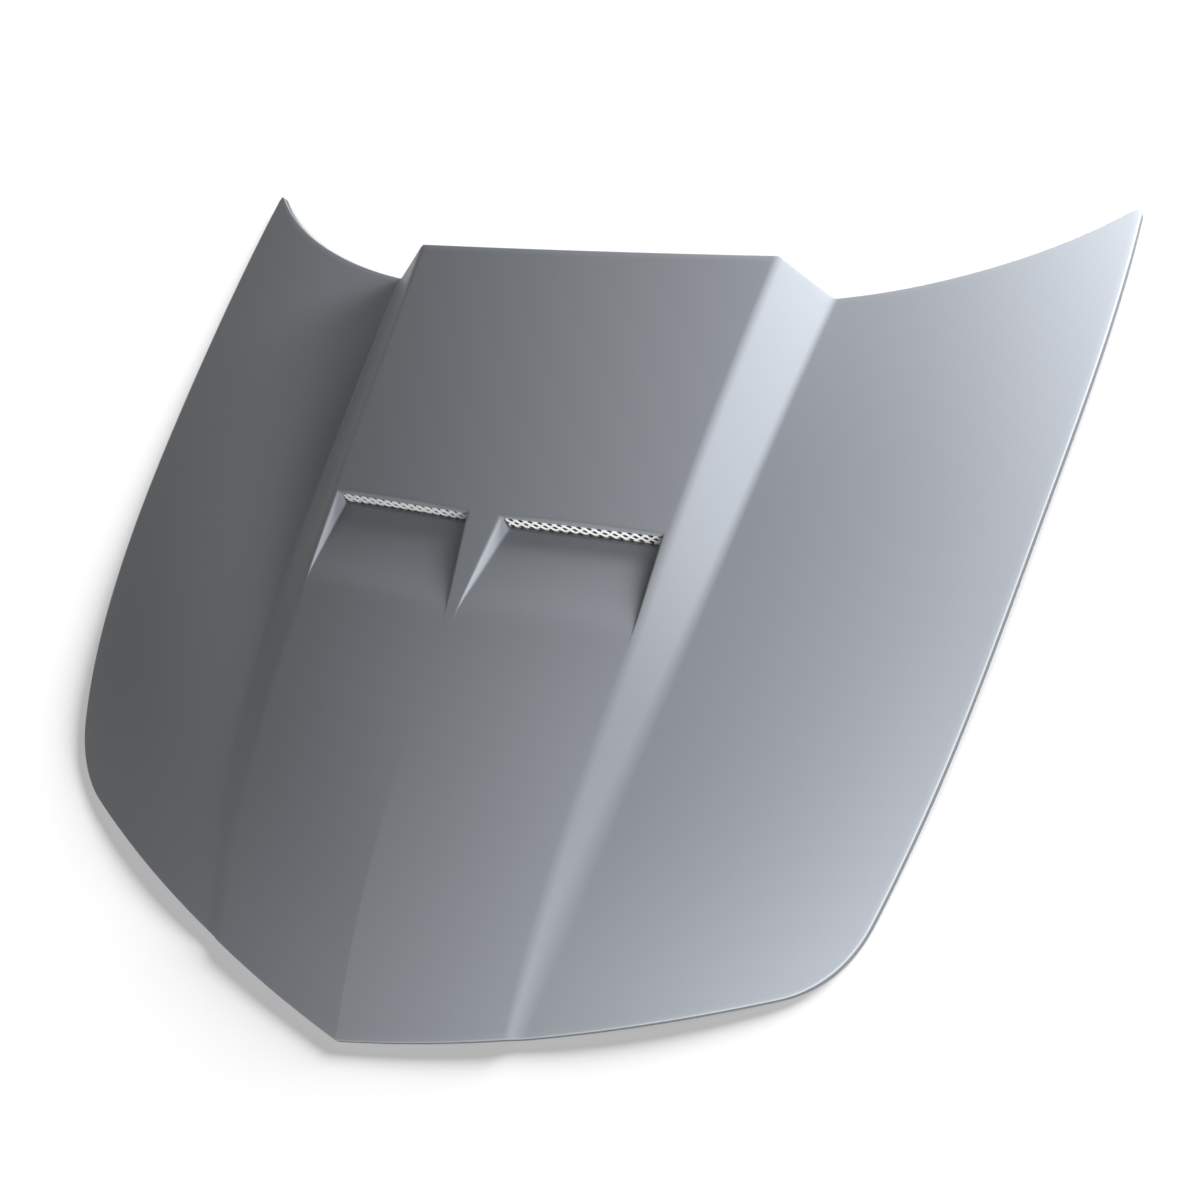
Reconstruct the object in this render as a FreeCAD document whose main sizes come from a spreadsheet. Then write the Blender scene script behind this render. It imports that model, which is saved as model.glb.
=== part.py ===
# Ram air bonnet: a moulded outer skin with a raised cowl and two forward-facing
# inlets, a bonded inner frame of hat-section channels, a panel of expanded mesh
# behind each inlet, and steel plates with nuts at the hinges and the latch.
#
# Lengths are in millimetres. While a shape is worked out, x runs to the side from
# the centreline, y runs rearward from the nose tip and z is the height above the
# plane through the nose and the two rear tips. Each placement then moves the shape
# so that the origin is under the middle of the bonnet, on the surface it lies on.
import FreeCAD
import Part
import Sketcher
import math
import os

from FreeCAD import Placement, Rotation, Vector

# The cowl and the panels are drawn by seven cross-sections, listed from nose to rear.
SECTION_NAMES = ("nose", "front", "bay", "middle", "lip", "cowl", "rear")
SECTION_FIELDS = ("station", "centre_height", "crest_width", "crest_height",
                  "valley_width", "valley_height", "panel_width", "panel_height")
SECTION_SIZES = {
    "nose": (0.0, 0.0, 252.0, -18.0, 263.0, -21.5, 560.0, -38.0),
    "front": (130.0, 38.5, 266.5, 20.0, 285.5, 13.0, 600.0, -19.5),
    "bay": (330.0, 71.5, 281.0, 56.0, 321.5, 45.0, 692.0, 9.0),
    "middle": (540.0, 83.5, 292.5, 70.5, 349.0, 54.0, 733.5, 24.0),
    "lip": (735.0, 92.0, 301.0, 80.0, 363.0, 47.0, 751.0, 24.5),
    "cowl": (960.0, 93.5, 308.5, 82.5, 377.5, 37.0, 760.0, 15.7),
    "rear": (1150.0, 89.0, 317.0, 80.0, 390.0, 24.0, 765.0, 5.0),
}

SIZES = {
    # Outer skin
    "skin_wall": 3.0,
    "flange_depth": 10.0,
    "panel_roll": 0.0004,
    "nose_crease_slope": 0.055,
    "nose_crease_length": 470.0,
    "crest_blend": 8.0,
    "valley_blend_front": 24.0,
    "valley_blend_rear": 6.0,
    # Plan outline of the skin
    "nose_edge_angle": 12.4,
    "corner_width": 603.0,
    "corner_station": 214.0,
    "corner_radius": 176.0,
    "corner_turn": 47.8,
    "plan_side_width": 757.5,
    "plan_side_station": 842.0,
    "tip_width": 760.0,
    "tip_station": 1289.0,
    "tip_radius": 5.0,
    "tip_side_angle": 94.0,
    "tip_rear_angle": 224.0,
    "plan_rear_width": 559.0,
    "plan_rear_station": 1165.0,
    "plan_valley_width": 387.0,
    "plan_valley_station": 1121.0,
    "plan_valley_angle": 188.0,
    "plan_crest_width": 317.0,
    "plan_crest_station": 1152.0,
    "plan_centre_station": 1145.0,
    # Inlets
    "inlet_front_inner_width": 9.0,
    "inlet_front_inner_station": 588.0,
    "inlet_front_outer_width": 290.0,
    "inlet_front_outer_station": 603.0,
    "inlet_lip_inner_width": 30.5,
    "inlet_lip_inner_station": 727.0,
    "inlet_lip_outer_width": 288.5,
    "inlet_lip_outer_station": 736.0,
    "inlet_inner_depth": 16.2,
    "inlet_outer_depth": 17.0,
    "inlet_side_lean": 25.0,
    "inlet_mesh_lean": 33.0,
    "inlet_lip_band": 5.0,
    # Mesh panels
    "mesh_seat": 9.0,
    "mesh_wall": 1.2,
    "mesh_gap": 0.3,
    "mesh_long_pitch": 16.0,
    "mesh_short_pitch": 6.0,
    "mesh_strand": 1.5,
    # Inner frame: its underside is the outer surface's height times the level, less the drop
    "frame_wall": 2.0,
    "bond_gap": 0.4,
    "frame_level": 0.6,
    "frame_drop": 7.5,
    "frame_edge_gap": 2.0,
    "bond_flange": 14.0,
    "window_draft": 12.0,
    "window_radius": 28.0,
    "cowl_rib_gap": 6.0,
    "cowl_rib_width": 76.0,
    "side_band": 62.0,
    "corner_band": 84.0,
    "centre_window_tip": 150.0,
    "centre_window_front": 228.0,
    "centre_window_rear": 800.0,
    "cowl_window_front": 885.0,
    "cowl_window_rear": 1062.0,
    "corner_window_front": 205.0,
    "corner_window_corner": 300.0,
    "corner_window_side": 372.0,
    "corner_window_rear": 606.0,
    "panel_window_front": 672.0,
    "panel_window_side": 985.0,
    "panel_window_rear": 1040.0,
    # Pads of the inner frame under the hinge plates and the latch plate
    "hinge_pad_height": -1.0,
    "latch_pad_height": 0.0,
    "pad_margin": 7.0,
    "pad_radius": 12.0,
    # Hinge plates, latch plate and their nuts
    "seat_gap": 0.2,
    "plate_wall": 3.0,
    "plate_radius": 8.0,
    "bolt_hole_radius": 4.5,
    "hinge_width": 606.0,
    "hinge_station": 1085.0,
    "hinge_plate_width": 60.0,
    "hinge_plate_length": 110.0,
    "hinge_bolt_spacing": 70.0,
    "latch_station": 100.0,
    "latch_plate_width": 110.0,
    "latch_plate_length": 44.0,
    "latch_bolt_spacing": 60.0,
    "nut_bore_radius": 3.4,
    "nut_across_flats": 13.0,
    "nut_height": 6.5,
    "nut_flange_radius": 8.5,
    "nut_flange_height": 1.5,
}

SECTION_COUNT = 16
# Heights well below and above the bonnet, and just below and above the inner frame.
BELOW = -260.0
ABOVE = 200.0
FRAME_BELOW = -30.0
FRAME_ABOVE = 120.0


def fill_sheet(doc):
    """The spreadsheet of driving sizes, one named cell for each."""
    sheet = doc.addObject("Spreadsheet::Sheet", "sizes")
    rows = dict(SIZES)
    for name in SECTION_NAMES:
        for field, value in zip(SECTION_FIELDS, SECTION_SIZES[name]):
            rows[name + "_" + field] = value
    for number, (alias, value) in enumerate(rows.items(), start=1):
        set_cell(sheet, number, alias, value)
    doc.recompute()
    return sheet


def set_cell(sheet, number, alias, value):
    sheet.set("A%d" % number, alias)
    sheet.set("B%d" % number, repr(value))
    sheet.setAlias("B%d" % number, alias)


def add_rest(doc, sheet, skin_shape):
    """Adds the middle of the length and the lowest height, which set the resting place."""
    points = []
    for edge in skin_shape.Edges:
        points += edge.discretize(Deflection=0.05)
    middle = (min(p.y for p in points) + max(p.y for p in points)) / 2.0
    number = len(SIZES) + len(SECTION_NAMES) * len(SECTION_FIELDS)
    set_cell(sheet, number + 1, "rest_middle", middle)
    set_cell(sheet, number + 2, "rest_height", min(p.z for p in points))
    doc.recompute()


class SmoothCurve:
    """A natural cubic spline through (station, value) pairs, straight beyond its ends."""

    def __init__(self, stations, values):
        self.stations = stations
        self.values = values
        count = len(stations)
        steps = [stations[i + 1] - stations[i] for i in range(count - 1)]
        slopes = [(values[i + 1] - values[i]) / steps[i] for i in range(count - 1)]
        diagonal = [1.0] * count
        right = [0.0] * count
        for i in range(1, count - 1):
            weight = steps[i - 1] / diagonal[i - 1] if i > 1 else 0.0
            diagonal[i] = 2.0 * (steps[i - 1] + steps[i]) - weight * steps[i - 1]
            right[i] = 6.0 * (slopes[i] - slopes[i - 1]) - weight * right[i - 1]
        bends = [0.0] * count
        for i in range(count - 2, 0, -1):
            bends[i] = (right[i] - steps[i] * bends[i + 1]) / diagonal[i]
        self.bends = bends

    def at(self, station):
        stations = self.stations
        inside = min(max(station, stations[0]), stations[-1])
        i = 0
        while i < len(stations) - 2 and inside > stations[i + 1]:
            i += 1
        step = stations[i + 1] - stations[i]
        low, high = self.bends[i], self.bends[i + 1]
        a = (stations[i + 1] - inside) / step
        b = 1.0 - a
        value = a * self.values[i] + b * self.values[i + 1]
        value += ((a ** 3 - a) * low + (b ** 3 - b) * high) * step ** 2 / 6.0
        if station == inside:
            return value
        slope = (self.values[i + 1] - self.values[i]) / step
        if station < inside:
            slope -= step * (2.0 * low + high) / 6.0
        else:
            slope += step * (low + 2.0 * high) / 6.0
        return value + slope * (station - inside)


def offset_corner(corner, slope_in, slope_out, drop):
    """A corner of a section moved inward so that both its sides move by drop."""
    normal_in = Vector(slope_in, 0, -1).normalize()
    normal_out = Vector(slope_out, 0, -1).normalize()
    return corner + (normal_in + normal_out) * (drop / (1.0 + normal_in.dot(normal_out)))


def meet(point, slope, corner, direction):
    """Where the line through point with that slope crosses the line through the corner."""
    gap = corner - point
    along = (gap.x * slope - gap.z) / (direction.z - direction.x * slope)
    return corner + direction * along


class SkinForm:
    """The outer surface of the bonnet as a family of cross-sections along y."""

    def __init__(self, sheet):
        self.size = sheet.get
        stations = [sheet.get(name + "_station") for name in SECTION_NAMES]
        self.curves = {}
        for field in SECTION_FIELDS[1:]:
            values = [sheet.get(name + "_" + field) for name in SECTION_NAMES]
            self.curves[field] = SmoothCurve(stations, values)

    def at(self, field, station):
        return self.curves[field].at(station)

    def crease(self, station):
        """Slope of the cowl top beside the centreline, which fades out behind the nose."""
        share = min(max(1.0 - station / self.size("nose_crease_length"), 0.0), 1.0)
        return self.size("nose_crease_slope") * share * share * (3.0 - 2.0 * share)

    def valley_blend(self, station):
        """Reach of the blend at the cowl's foot, which tightens rearward."""
        rear = self.size("valley_blend_rear")
        share = min(max(1.0 - station / self.size("rear_station"), 0.0), 1.0)
        return rear + (self.size("valley_blend_front") - rear) * share * share

    def half_section(self, station, drop=0.0):
        """The half section's pieces as lists of poles, from the centreline outward.

        They are the cowl top, the crest blend, the wall, the valley blend and the
        panel. Neighbours share a pole and a tangent. Drop moves them all inward.
        """
        crease = self.crease(station)
        crest = Vector(self.at("crest_width", station), 0, self.at("crest_height", station))
        valley = Vector(self.at("valley_width", station), 0, self.at("valley_height", station))
        centre = self.at("centre_height", station)
        reach = self.at("panel_width", station) - valley.x
        roll = self.size("panel_roll") / 1000.0
        fall = (self.at("panel_height", station) - valley.z) / reach + roll * reach ** 2
        bow = (centre - crest.z - crease * crest.x) / crest.x ** 2
        wall = (valley.z - crest.z) / (valley.x - crest.x)
        if drop:
            crest = offset_corner(crest, -crease - 2.0 * bow * crest.x, wall, drop)
            valley = offset_corner(valley, wall, fall, drop)
            centre -= drop * math.hypot(1.0, crease)
            bow = (centre - crest.z - crease * crest.x) / crest.x ** 2

        def top(x):
            return Vector(x, 0, centre - crease * x - bow * x * x)

        def panel(x):
            run = x - valley.x
            return Vector(x, 0, valley.z + fall * run - roll * run ** 3)

        down_wall = valley - crest
        wall_length = down_wall.Length
        down_wall.normalize()
        crest_reach = min(self.size("crest_blend"), 0.3 * wall_length)
        valley_reach = min(self.valley_blend(station), 0.6 * wall_length)

        top_end = top(crest.x - crest_reach)
        top_pole = Vector(top_end.x / 2.0, 0, centre - crease * top_end.x / 2.0)
        crest_pole = meet(top_end, -crease - 2.0 * bow * top_end.x, crest, down_wall)
        wall_start = crest_pole + down_wall * crest_reach

        panel_start = panel(valley.x + valley_reach)
        panel_end = panel(self.block_side())
        start_slope = fall - 3.0 * roll * valley_reach ** 2
        end_slope = fall - 3.0 * roll * (panel_end.x - valley.x) ** 2
        valley_pole = meet(panel_start, start_slope, valley, down_wall)
        wall_end = valley_pole - down_wall * valley_reach
        third = (panel_end.x - panel_start.x) / 3.0
        return [
            [top(0.0), top_pole, top_end],
            [top_end, crest_pole, wall_start],
            [wall_start, wall_end],
            [wall_end, valley_pole, panel_start],
            [panel_start, panel_start + Vector(1, 0, start_slope) * third,
             panel_end - Vector(1, 0, end_slope) * third, panel_end],
        ]

    def block_side(self):
        return self.size("tip_width") + 45.0

    def height(self, x, station, drop=0.0):
        """Height of the surface at a point of the plan, x measured from the centreline."""
        for poles in self.half_section(station, drop):
            if poles[0].x <= abs(x) <= poles[-1].x:
                return height_on(poles, abs(x))
        raise ValueError("the point is outside the sections")

    def block(self, drop=0.0, level=None):
        """The solid under the surface. Level scales its heights and lowers them."""
        wires = []
        first, last = -30.0, self.size("tip_station") + 30.0
        for number in range(SECTION_COUNT):
            station = first + (last - first) * number / (SECTION_COUNT - 1)
            half = self.half_section(station, drop)
            if level:
                scale, lower = level
                half = [[Vector(p.x, 0, scale * p.z - lower) for p in poles] for poles in half]
            wires.append(section_wire(half, station))
        return Part.makeLoft(wires, True, False)


def curve_point(poles, share):
    """A point of the Bezier curve with those poles."""
    while len(poles) > 1:
        poles = [a + (b - a) * share for a, b in zip(poles, poles[1:])]
    return poles[0]


def height_on(poles, x):
    """Height at x on a Bezier curve whose x always grows."""
    low, high = 0.0, 1.0
    for _ in range(50):
        share = (low + high) / 2.0
        if curve_point(poles, share).x < x:
            low = share
        else:
            high = share
    return curve_point(poles, low).z


def bezier_edge(poles):
    if len(poles) == 2:
        return Part.makeLine(poles[0], poles[1])
    curve = Part.BezierCurve()
    curve.setPoles(poles)
    return curve.toShape()


def section_wire(half, station):
    """A closed section: the surface from side to side, and a box below it."""
    def placed(point, side):
        return Vector(side * point.x, station, point.z)

    edges = []
    for poles in reversed(half):
        edges.append(bezier_edge([placed(p, -1) for p in reversed(poles)]))
    for poles in half:
        edges.append(bezier_edge([placed(p, 1) for p in poles]))
    end = placed(half[-1][-1], 1)
    start = placed(half[-1][-1], -1)
    low_end = Vector(end.x, station, BELOW)
    low_start = Vector(start.x, station, BELOW)
    edges.append(Part.makeLine(end, low_end))
    edges.append(Part.makeLine(low_end, low_start))
    edges.append(Part.makeLine(low_start, start))
    return Part.Wire(edges)


def heading(degrees):
    """Unit vector in plan at an angle from +x towards +y."""
    return Vector(math.cos(math.radians(degrees)), math.sin(math.radians(degrees)), 0)


def plan_corner(corner, angle_in, angle_out, inset):
    """A corner of the outline moved inward by inset from both its sides."""
    normal_in, normal_out = heading(angle_in + 90.0), heading(angle_out + 90.0)
    return corner + (normal_in + normal_out) * (inset / (1.0 + normal_in.dot(normal_out)))


def round_corner(corner, angle_in, angle_out, radius):
    """Start, middle and end of the arc that rounds a left-turning corner."""
    half = math.radians(180.0 - angle_out + angle_in) / 2.0
    tangent = radius / math.tan(half)
    inward = (heading(angle_out) - heading(angle_in)).normalize()
    return [corner - heading(angle_in) * tangent,
            corner + inward * (radius / math.sin(half) - radius),
            corner + heading(angle_out) * tangent]


def rounded_wire(corners, radius, outward, z):
    """A closed wire at height z round convex corners in turning order, moved outward."""
    arcs = []
    for before, corner, after in zip(corners[-1:] + corners, corners, corners[1:] + corners[:1]):
        angle_in = math.degrees(math.atan2(corner.y - before.y, corner.x - before.x))
        angle_out = math.degrees(math.atan2(after.y - corner.y, after.x - corner.x))
        angle_out = angle_in + (angle_out - angle_in) % 360.0
        moved = plan_corner(corner, angle_in, angle_out, -outward)
        points = round_corner(moved, angle_in, angle_out, radius)
        arcs.append([Vector(p.x, p.y, z) for p in points])
    edges = []
    for arc, following in zip(arcs, arcs[1:] + arcs[:1]):
        edges.append(Part.Arc(*arc).toShape())
        edges.append(Part.makeLine(arc[-1], following[0]))
    return Part.Wire(edges)


def spline_between(points, first_angle, last_angle):
    curve = Part.BSplineCurve()
    curve.interpolate(Points=points, InitialTangent=heading(first_angle),
                      FinalTangent=heading(last_angle))
    return curve


def moved_spline(points, first_angle, last_angle, inset, start, end):
    """The spline through points moved inward, with its ends at start and end."""
    curve = spline_between(points, first_angle, last_angle)
    if not inset:
        return curve
    first, last = curve.FirstParameter, curve.LastParameter
    moved = [start]
    for share in (0.2, 0.4, 0.6, 0.8):
        parameter = first + share * (last - first)
        along = curve.tangent(parameter)[0]
        moved.append(curve.value(parameter) + Vector(-along.y, along.x, 0) * inset)
    return spline_between(moved + [end], first_angle, last_angle)


class Outline:
    """The plan outline's right half, from the nose tip round to the cowl's rear edge."""

    def __init__(self, size, inset=0.0):
        self.size = size
        self.inset = inset

    def arc(self, start, angle, radius, turn):
        """A left-turning arc from a point of the outline, moved inward: three points."""
        centre = start + heading(angle + 90.0) * radius
        reach = radius - self.inset
        return [centre - heading(angle + 90.0 + share * turn) * reach for share in (0, 0.5, 1)]

    def curves(self):
        """The right half's arcs, splines and lines in order."""
        size, inset = self.size, self.inset
        corner = Vector(size("corner_width"), size("corner_station"), 0)
        start_angle = size("nose_edge_angle")
        front_turn = 2.0 * (math.degrees(math.atan2(corner.y, corner.x)) - start_angle)
        front_radius = corner.Length / (2.0 * math.sin(math.radians(front_turn / 2.0)))
        front = self.arc(Vector(0, 0, 0), start_angle, front_radius, front_turn)
        centre = heading(start_angle + 90.0) * front_radius
        reach = front_radius - inset
        front[0] = Vector(0, centre.y - math.sqrt(reach ** 2 - centre.x ** 2), 0)

        corner_angle = start_angle + front_turn
        side_angle = corner_angle + size("corner_turn")
        rounded = self.arc(corner, corner_angle, size("corner_radius"), size("corner_turn"))
        outer = Outline(size).arc(corner, corner_angle, size("corner_radius"),
                                  size("corner_turn"))[-1]

        tip_in, tip_out = size("tip_side_angle"), size("tip_rear_angle")
        outer_tip = Vector(size("tip_width"), size("tip_station"), 0)
        tip = plan_corner(outer_tip, tip_in, tip_out, inset)
        radius = max(size("tip_radius") - inset, 1.0)
        side_end, tip_middle, rear_start = round_corner(tip, tip_in, tip_out, radius)

        valley_angle = size("plan_valley_angle")
        valley = Vector(size("plan_valley_width"), size("plan_valley_station"), 0)
        crest = Vector(size("plan_crest_width"), size("plan_crest_station"), 0)
        wall = crest - valley
        wall_angle = math.degrees(math.atan2(wall.y, wall.x))
        middle = Vector(0, size("plan_centre_station"), 0)
        rise = crest.y - middle.y
        cowl_angle = 180.0 + 2.0 * math.degrees(math.atan2(rise, crest.x))
        moved_valley = plan_corner(valley, valley_angle, wall_angle, inset)
        moved_crest = plan_corner(crest, wall_angle, cowl_angle, inset)

        side_middle = Vector(size("plan_side_width"), size("plan_side_station"), 0)
        rear_panel = Vector(size("plan_rear_width"), size("plan_rear_station"), 0)
        side = moved_spline([outer, side_middle, outer_tip], side_angle, tip_in, inset,
                            rounded[-1], side_end)
        rear = moved_spline([outer_tip, rear_panel, valley], tip_out, valley_angle, inset,
                            rear_start, moved_valley)
        if not inset:
            side = spline_between([outer, side_middle, side_end], side_angle, tip_in)
            rear = spline_between([rear_start, rear_panel, valley], tip_out, valley_angle)
        return [
            Part.Arc(*front),
            Part.Arc(*rounded),
            side,
            Part.Arc(side_end, tip_middle, rear_start),
            rear,
            Part.LineSegment(moved_valley, moved_crest),
            Part.LineSegment(moved_crest, middle - Vector(0, inset, 0)),
        ]

    def prism(self):
        """The upright prism over the whole outline."""
        edges = []
        for curve in self.curves()[:-1]:
            edge = curve.toShape()
            edges += [edge, edge.mirror(Vector(0, 0, 0), Vector(1, 0, 0))]
        cowl = self.curves()[-1]
        corner = cowl.StartPoint
        edges.append(Part.Arc(corner, cowl.EndPoint, Vector(-corner.x, corner.y, 0)).toShape())
        wire = Part.Wire(Part.__sortEdges__(edges))
        wire.translate(Vector(0, 0, BELOW))
        return Part.Face(wire).extrude(Vector(0, 0, ABOVE - BELOW))


class InletForm:
    """One inlet: a ramp that sinks rearward to a leaning mesh plane under the lip."""

    def __init__(self, skin, side):
        self.skin = skin
        self.side = side
        self.size = skin.size
        self.lean = math.radians(self.size("inlet_mesh_lean"))
        self.flare = math.tan(math.radians(self.size("inlet_side_lean")))
        inner, outer = self.surface_points(1.0)
        self.origin = inner
        self.across = (outer - inner).normalize()
        self.up = Vector(0, math.sin(self.lean), math.cos(self.lean))
        self.normal = self.across.cross(self.up).normalize() * -side
        if self.normal.y < 0:
            self.normal = self.normal * -1.0

    def surface_points(self, share):
        """Inner and outer edge of the inlet on the skin, from its front at 0 to the lip at 1."""
        points = []
        for edge in ("inner", "outer"):
            front_x = self.size("inlet_front_%s_width" % edge)
            lip_x = self.size("inlet_lip_%s_width" % edge)
            front_y = self.size("inlet_front_%s_station" % edge)
            lip_y = self.size("inlet_lip_%s_station" % edge)
            x = front_x + share * (lip_x - front_x)
            y = front_y + share * (lip_y - front_y)
            points.append(Vector(self.side * x, y, self.skin.height(x, y)))
        return points

    def section(self, share, grow=0.0, rise=45.0):
        """A closed section of the ramp's air space, or of its outside if grow is a wall."""
        inner, outer = self.surface_points(share)
        fade = 0.5 * share + 0.5 * share * share
        depths = [fade * self.size("inlet_%s_depth" % edge) for edge in ("inner", "outer")]
        across = (outer - inner).normalize()
        normal = across.cross(self.up)
        back = normal * (-grow * (1.0 if normal.y < 0 else -1.0)) if share == 1.0 else Vector(0, 0, 0)
        side_grow = grow * math.hypot(1.0, self.flare)

        def on_plane(x, z):
            """The section plane's point at a side distance and height."""
            y = inner.y - (normal.x * (x - inner.x) + normal.z * (z - inner.z)) / normal.y
            return Vector(x, y, z) + back

        def edge_x(point, depth, outward):
            return point.x + outward * self.side * (side_grow - self.flare * depth)

        floor = []
        for part in (0.0, 0.5, 1.0):
            depth = depths[0] + part * (depths[1] - depths[0])
            start = edge_x(inner, depths[0], -1)
            end = edge_x(outer, depths[1], 1)
            x = start + part * (end - start)
            station = inner.y + part * (outer.y - inner.y)
            z = self.skin.height(inner.x + part * (outer.x - inner.x), station) - depth - grow
            floor.append(on_plane(x, z))
        middle_pole = floor[1] * 2.0 - (floor[0] + floor[2]) / 2.0
        top_inner = on_plane(edge_x(inner, -rise, -1), inner.z + rise)
        top_outer = on_plane(edge_x(outer, -rise, 1), outer.z + rise)
        return Part.Wire([
            bezier_edge([floor[0], middle_pole, floor[2]]),
            Part.makeLine(floor[2], top_outer),
            Part.makeLine(top_outer, top_inner),
            Part.makeLine(top_inner, floor[0]),
        ])

    def ramp(self, grow=0.0):
        """The ramp's air space, or the space inside the outside of its walls."""
        shares = (-0.08, 0.25, 0.6, 1.0)
        return Part.makeLoft([self.section(share, grow) for share in shares], True, False)

    def corners(self, grow=0.0, band=0.0):
        """Corners of the opening in the mesh plane: floor inner and outer, lip outer and inner."""
        inner, outer = self.surface_points(1.0)
        tilt = math.cos(self.lean)
        rows = []
        for point, edge, outward in ((inner, "inner", -1), (outer, "outer", 1)):
            depth = self.size("inlet_%s_depth" % edge)
            low = point - self.up * ((depth + grow) / tilt)
            low = low + self.across * outward * (grow - self.flare * depth)
            high = point - self.up * (band / tilt)
            high = high + self.across * outward * (grow - self.flare * band)
            rows.append((low, high))
        return [rows[0][0], rows[1][0], rows[1][1], rows[0][1]]

    def slab(self, corners, start, thickness):
        """A flat slab over corners in the mesh plane, from start to start + thickness behind it."""
        corners = [corner + self.normal * start for corner in corners]
        return Part.Face(Part.makePolygon(corners + corners[:1])).extrude(self.normal * thickness)

    def mesh_flange(self):
        """The strip of skin behind the mesh plane that the mesh panel seats on."""
        corners = self.corners(grow=self.size("mesh_seat"), band=-30.0)
        return self.slab(corners, 0.0, self.size("skin_wall"))

    def slot(self):
        """The opening through the skin in the mesh plane, below the band that forms the lip."""
        corners = self.corners(band=self.size("inlet_lip_band"))
        return self.slab(corners, 0.0, self.size("skin_wall") + 1.0)

    def mesh_panel(self):
        """Expanded mesh: a flat panel with staggered diamond openings."""
        start = self.size("skin_wall") + self.size("mesh_gap")
        seat = self.size("mesh_seat") - 1.0
        outer = self.corners(grow=seat, band=self.size("skin_wall") + 1.2)
        panel = self.slab(outer, start, self.size("mesh_wall"))
        return panel.cut(self.diamonds(outer, start))

    def diamonds(self, outer, start):
        """The openings of the mesh as one compound of prisms."""
        half_long = self.size("mesh_long_pitch") / 2.0
        half_short = self.size("mesh_short_pitch") / 2.0
        strand = self.size("mesh_strand")
        shrink = 1.0 - strand / 2.0 * math.hypot(half_long, half_short) / (half_long * half_short)
        border = 2.0 * strand
        low = outer[0]
        prisms = []

        def plane_point(a, b):
            return self.origin + self.across * a + self.up * b

        def coordinates(point):
            gap = point - self.origin
            # Across and up are not quite square to each other.
            skew = self.across.dot(self.up)
            a = (gap.dot(self.across) - skew * gap.dot(self.up)) / (1.0 - skew * skew)
            b = (gap.dot(self.up) - skew * gap.dot(self.across)) / (1.0 - skew * skew)
            return a, b

        places = [coordinates(corner) for corner in outer]
        bottom = max(places[0][1], places[1][1])
        rows = int((places[3][1] - bottom) // half_short) + 2
        columns = int((places[2][0] - places[3][0]) // half_long) + 4
        for row in range(rows):
            b = coordinates(low)[1] + border + (row + 1) * half_short
            for column in range(columns):
                if (row + column) % 2:
                    continue
                a = places[0][0] + (column + 0.5) * half_long
                tips = [(a - shrink * half_long, b), (a, b - shrink * half_short),
                        (a + shrink * half_long, b), (a, b + shrink * half_short)]
                if all(inside(places, tip, border / 2.0) for tip in tips):
                    points = [plane_point(*tip) + self.normal * (start - 1.0) for tip in tips]
                    face = Part.Face(Part.makePolygon(points + points[:1]))
                    prisms.append(face.extrude(self.normal * (self.size("mesh_wall") + 2.0)))
        return Part.makeCompound(prisms)


def inside(corners, point, margin):
    """Whether a point lies inside a convex outline with its corners in turning order."""
    for (ax, ay), (bx, by) in zip(corners, corners[1:] + corners[:1]):
        length = math.hypot(bx - ax, by - ay)
        gap = ((bx - ax) * (point[1] - ay) - (by - ay) * (point[0] - ax)) / length
        if gap < margin:
            return False
    return True


def outer_skin_shape(skin, inlets):
    """The moulded skin: one wall thick, with a turned-down edge and the two inlets."""
    size = skin.size
    wall = size("skin_wall")
    solids = [inlet.ramp(wall) for inlet in inlets] + [inlet.mesh_flange() for inlet in inlets]
    hollow = skin.block(wall).common(Outline(size, wall).prism())
    below = skin.block(size("flange_depth"))
    for solid in solids:
        hollow = hollow.cut(solid)
        below = below.cut(solid)
    shell = skin.block().common(Outline(size).prism())
    shell = shell.cut(hollow).cut(below)
    for inlet in inlets:
        shell = shell.cut(inlet.ramp()).cut(inlet.slot())
    return shell.removeSplitter()


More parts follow.
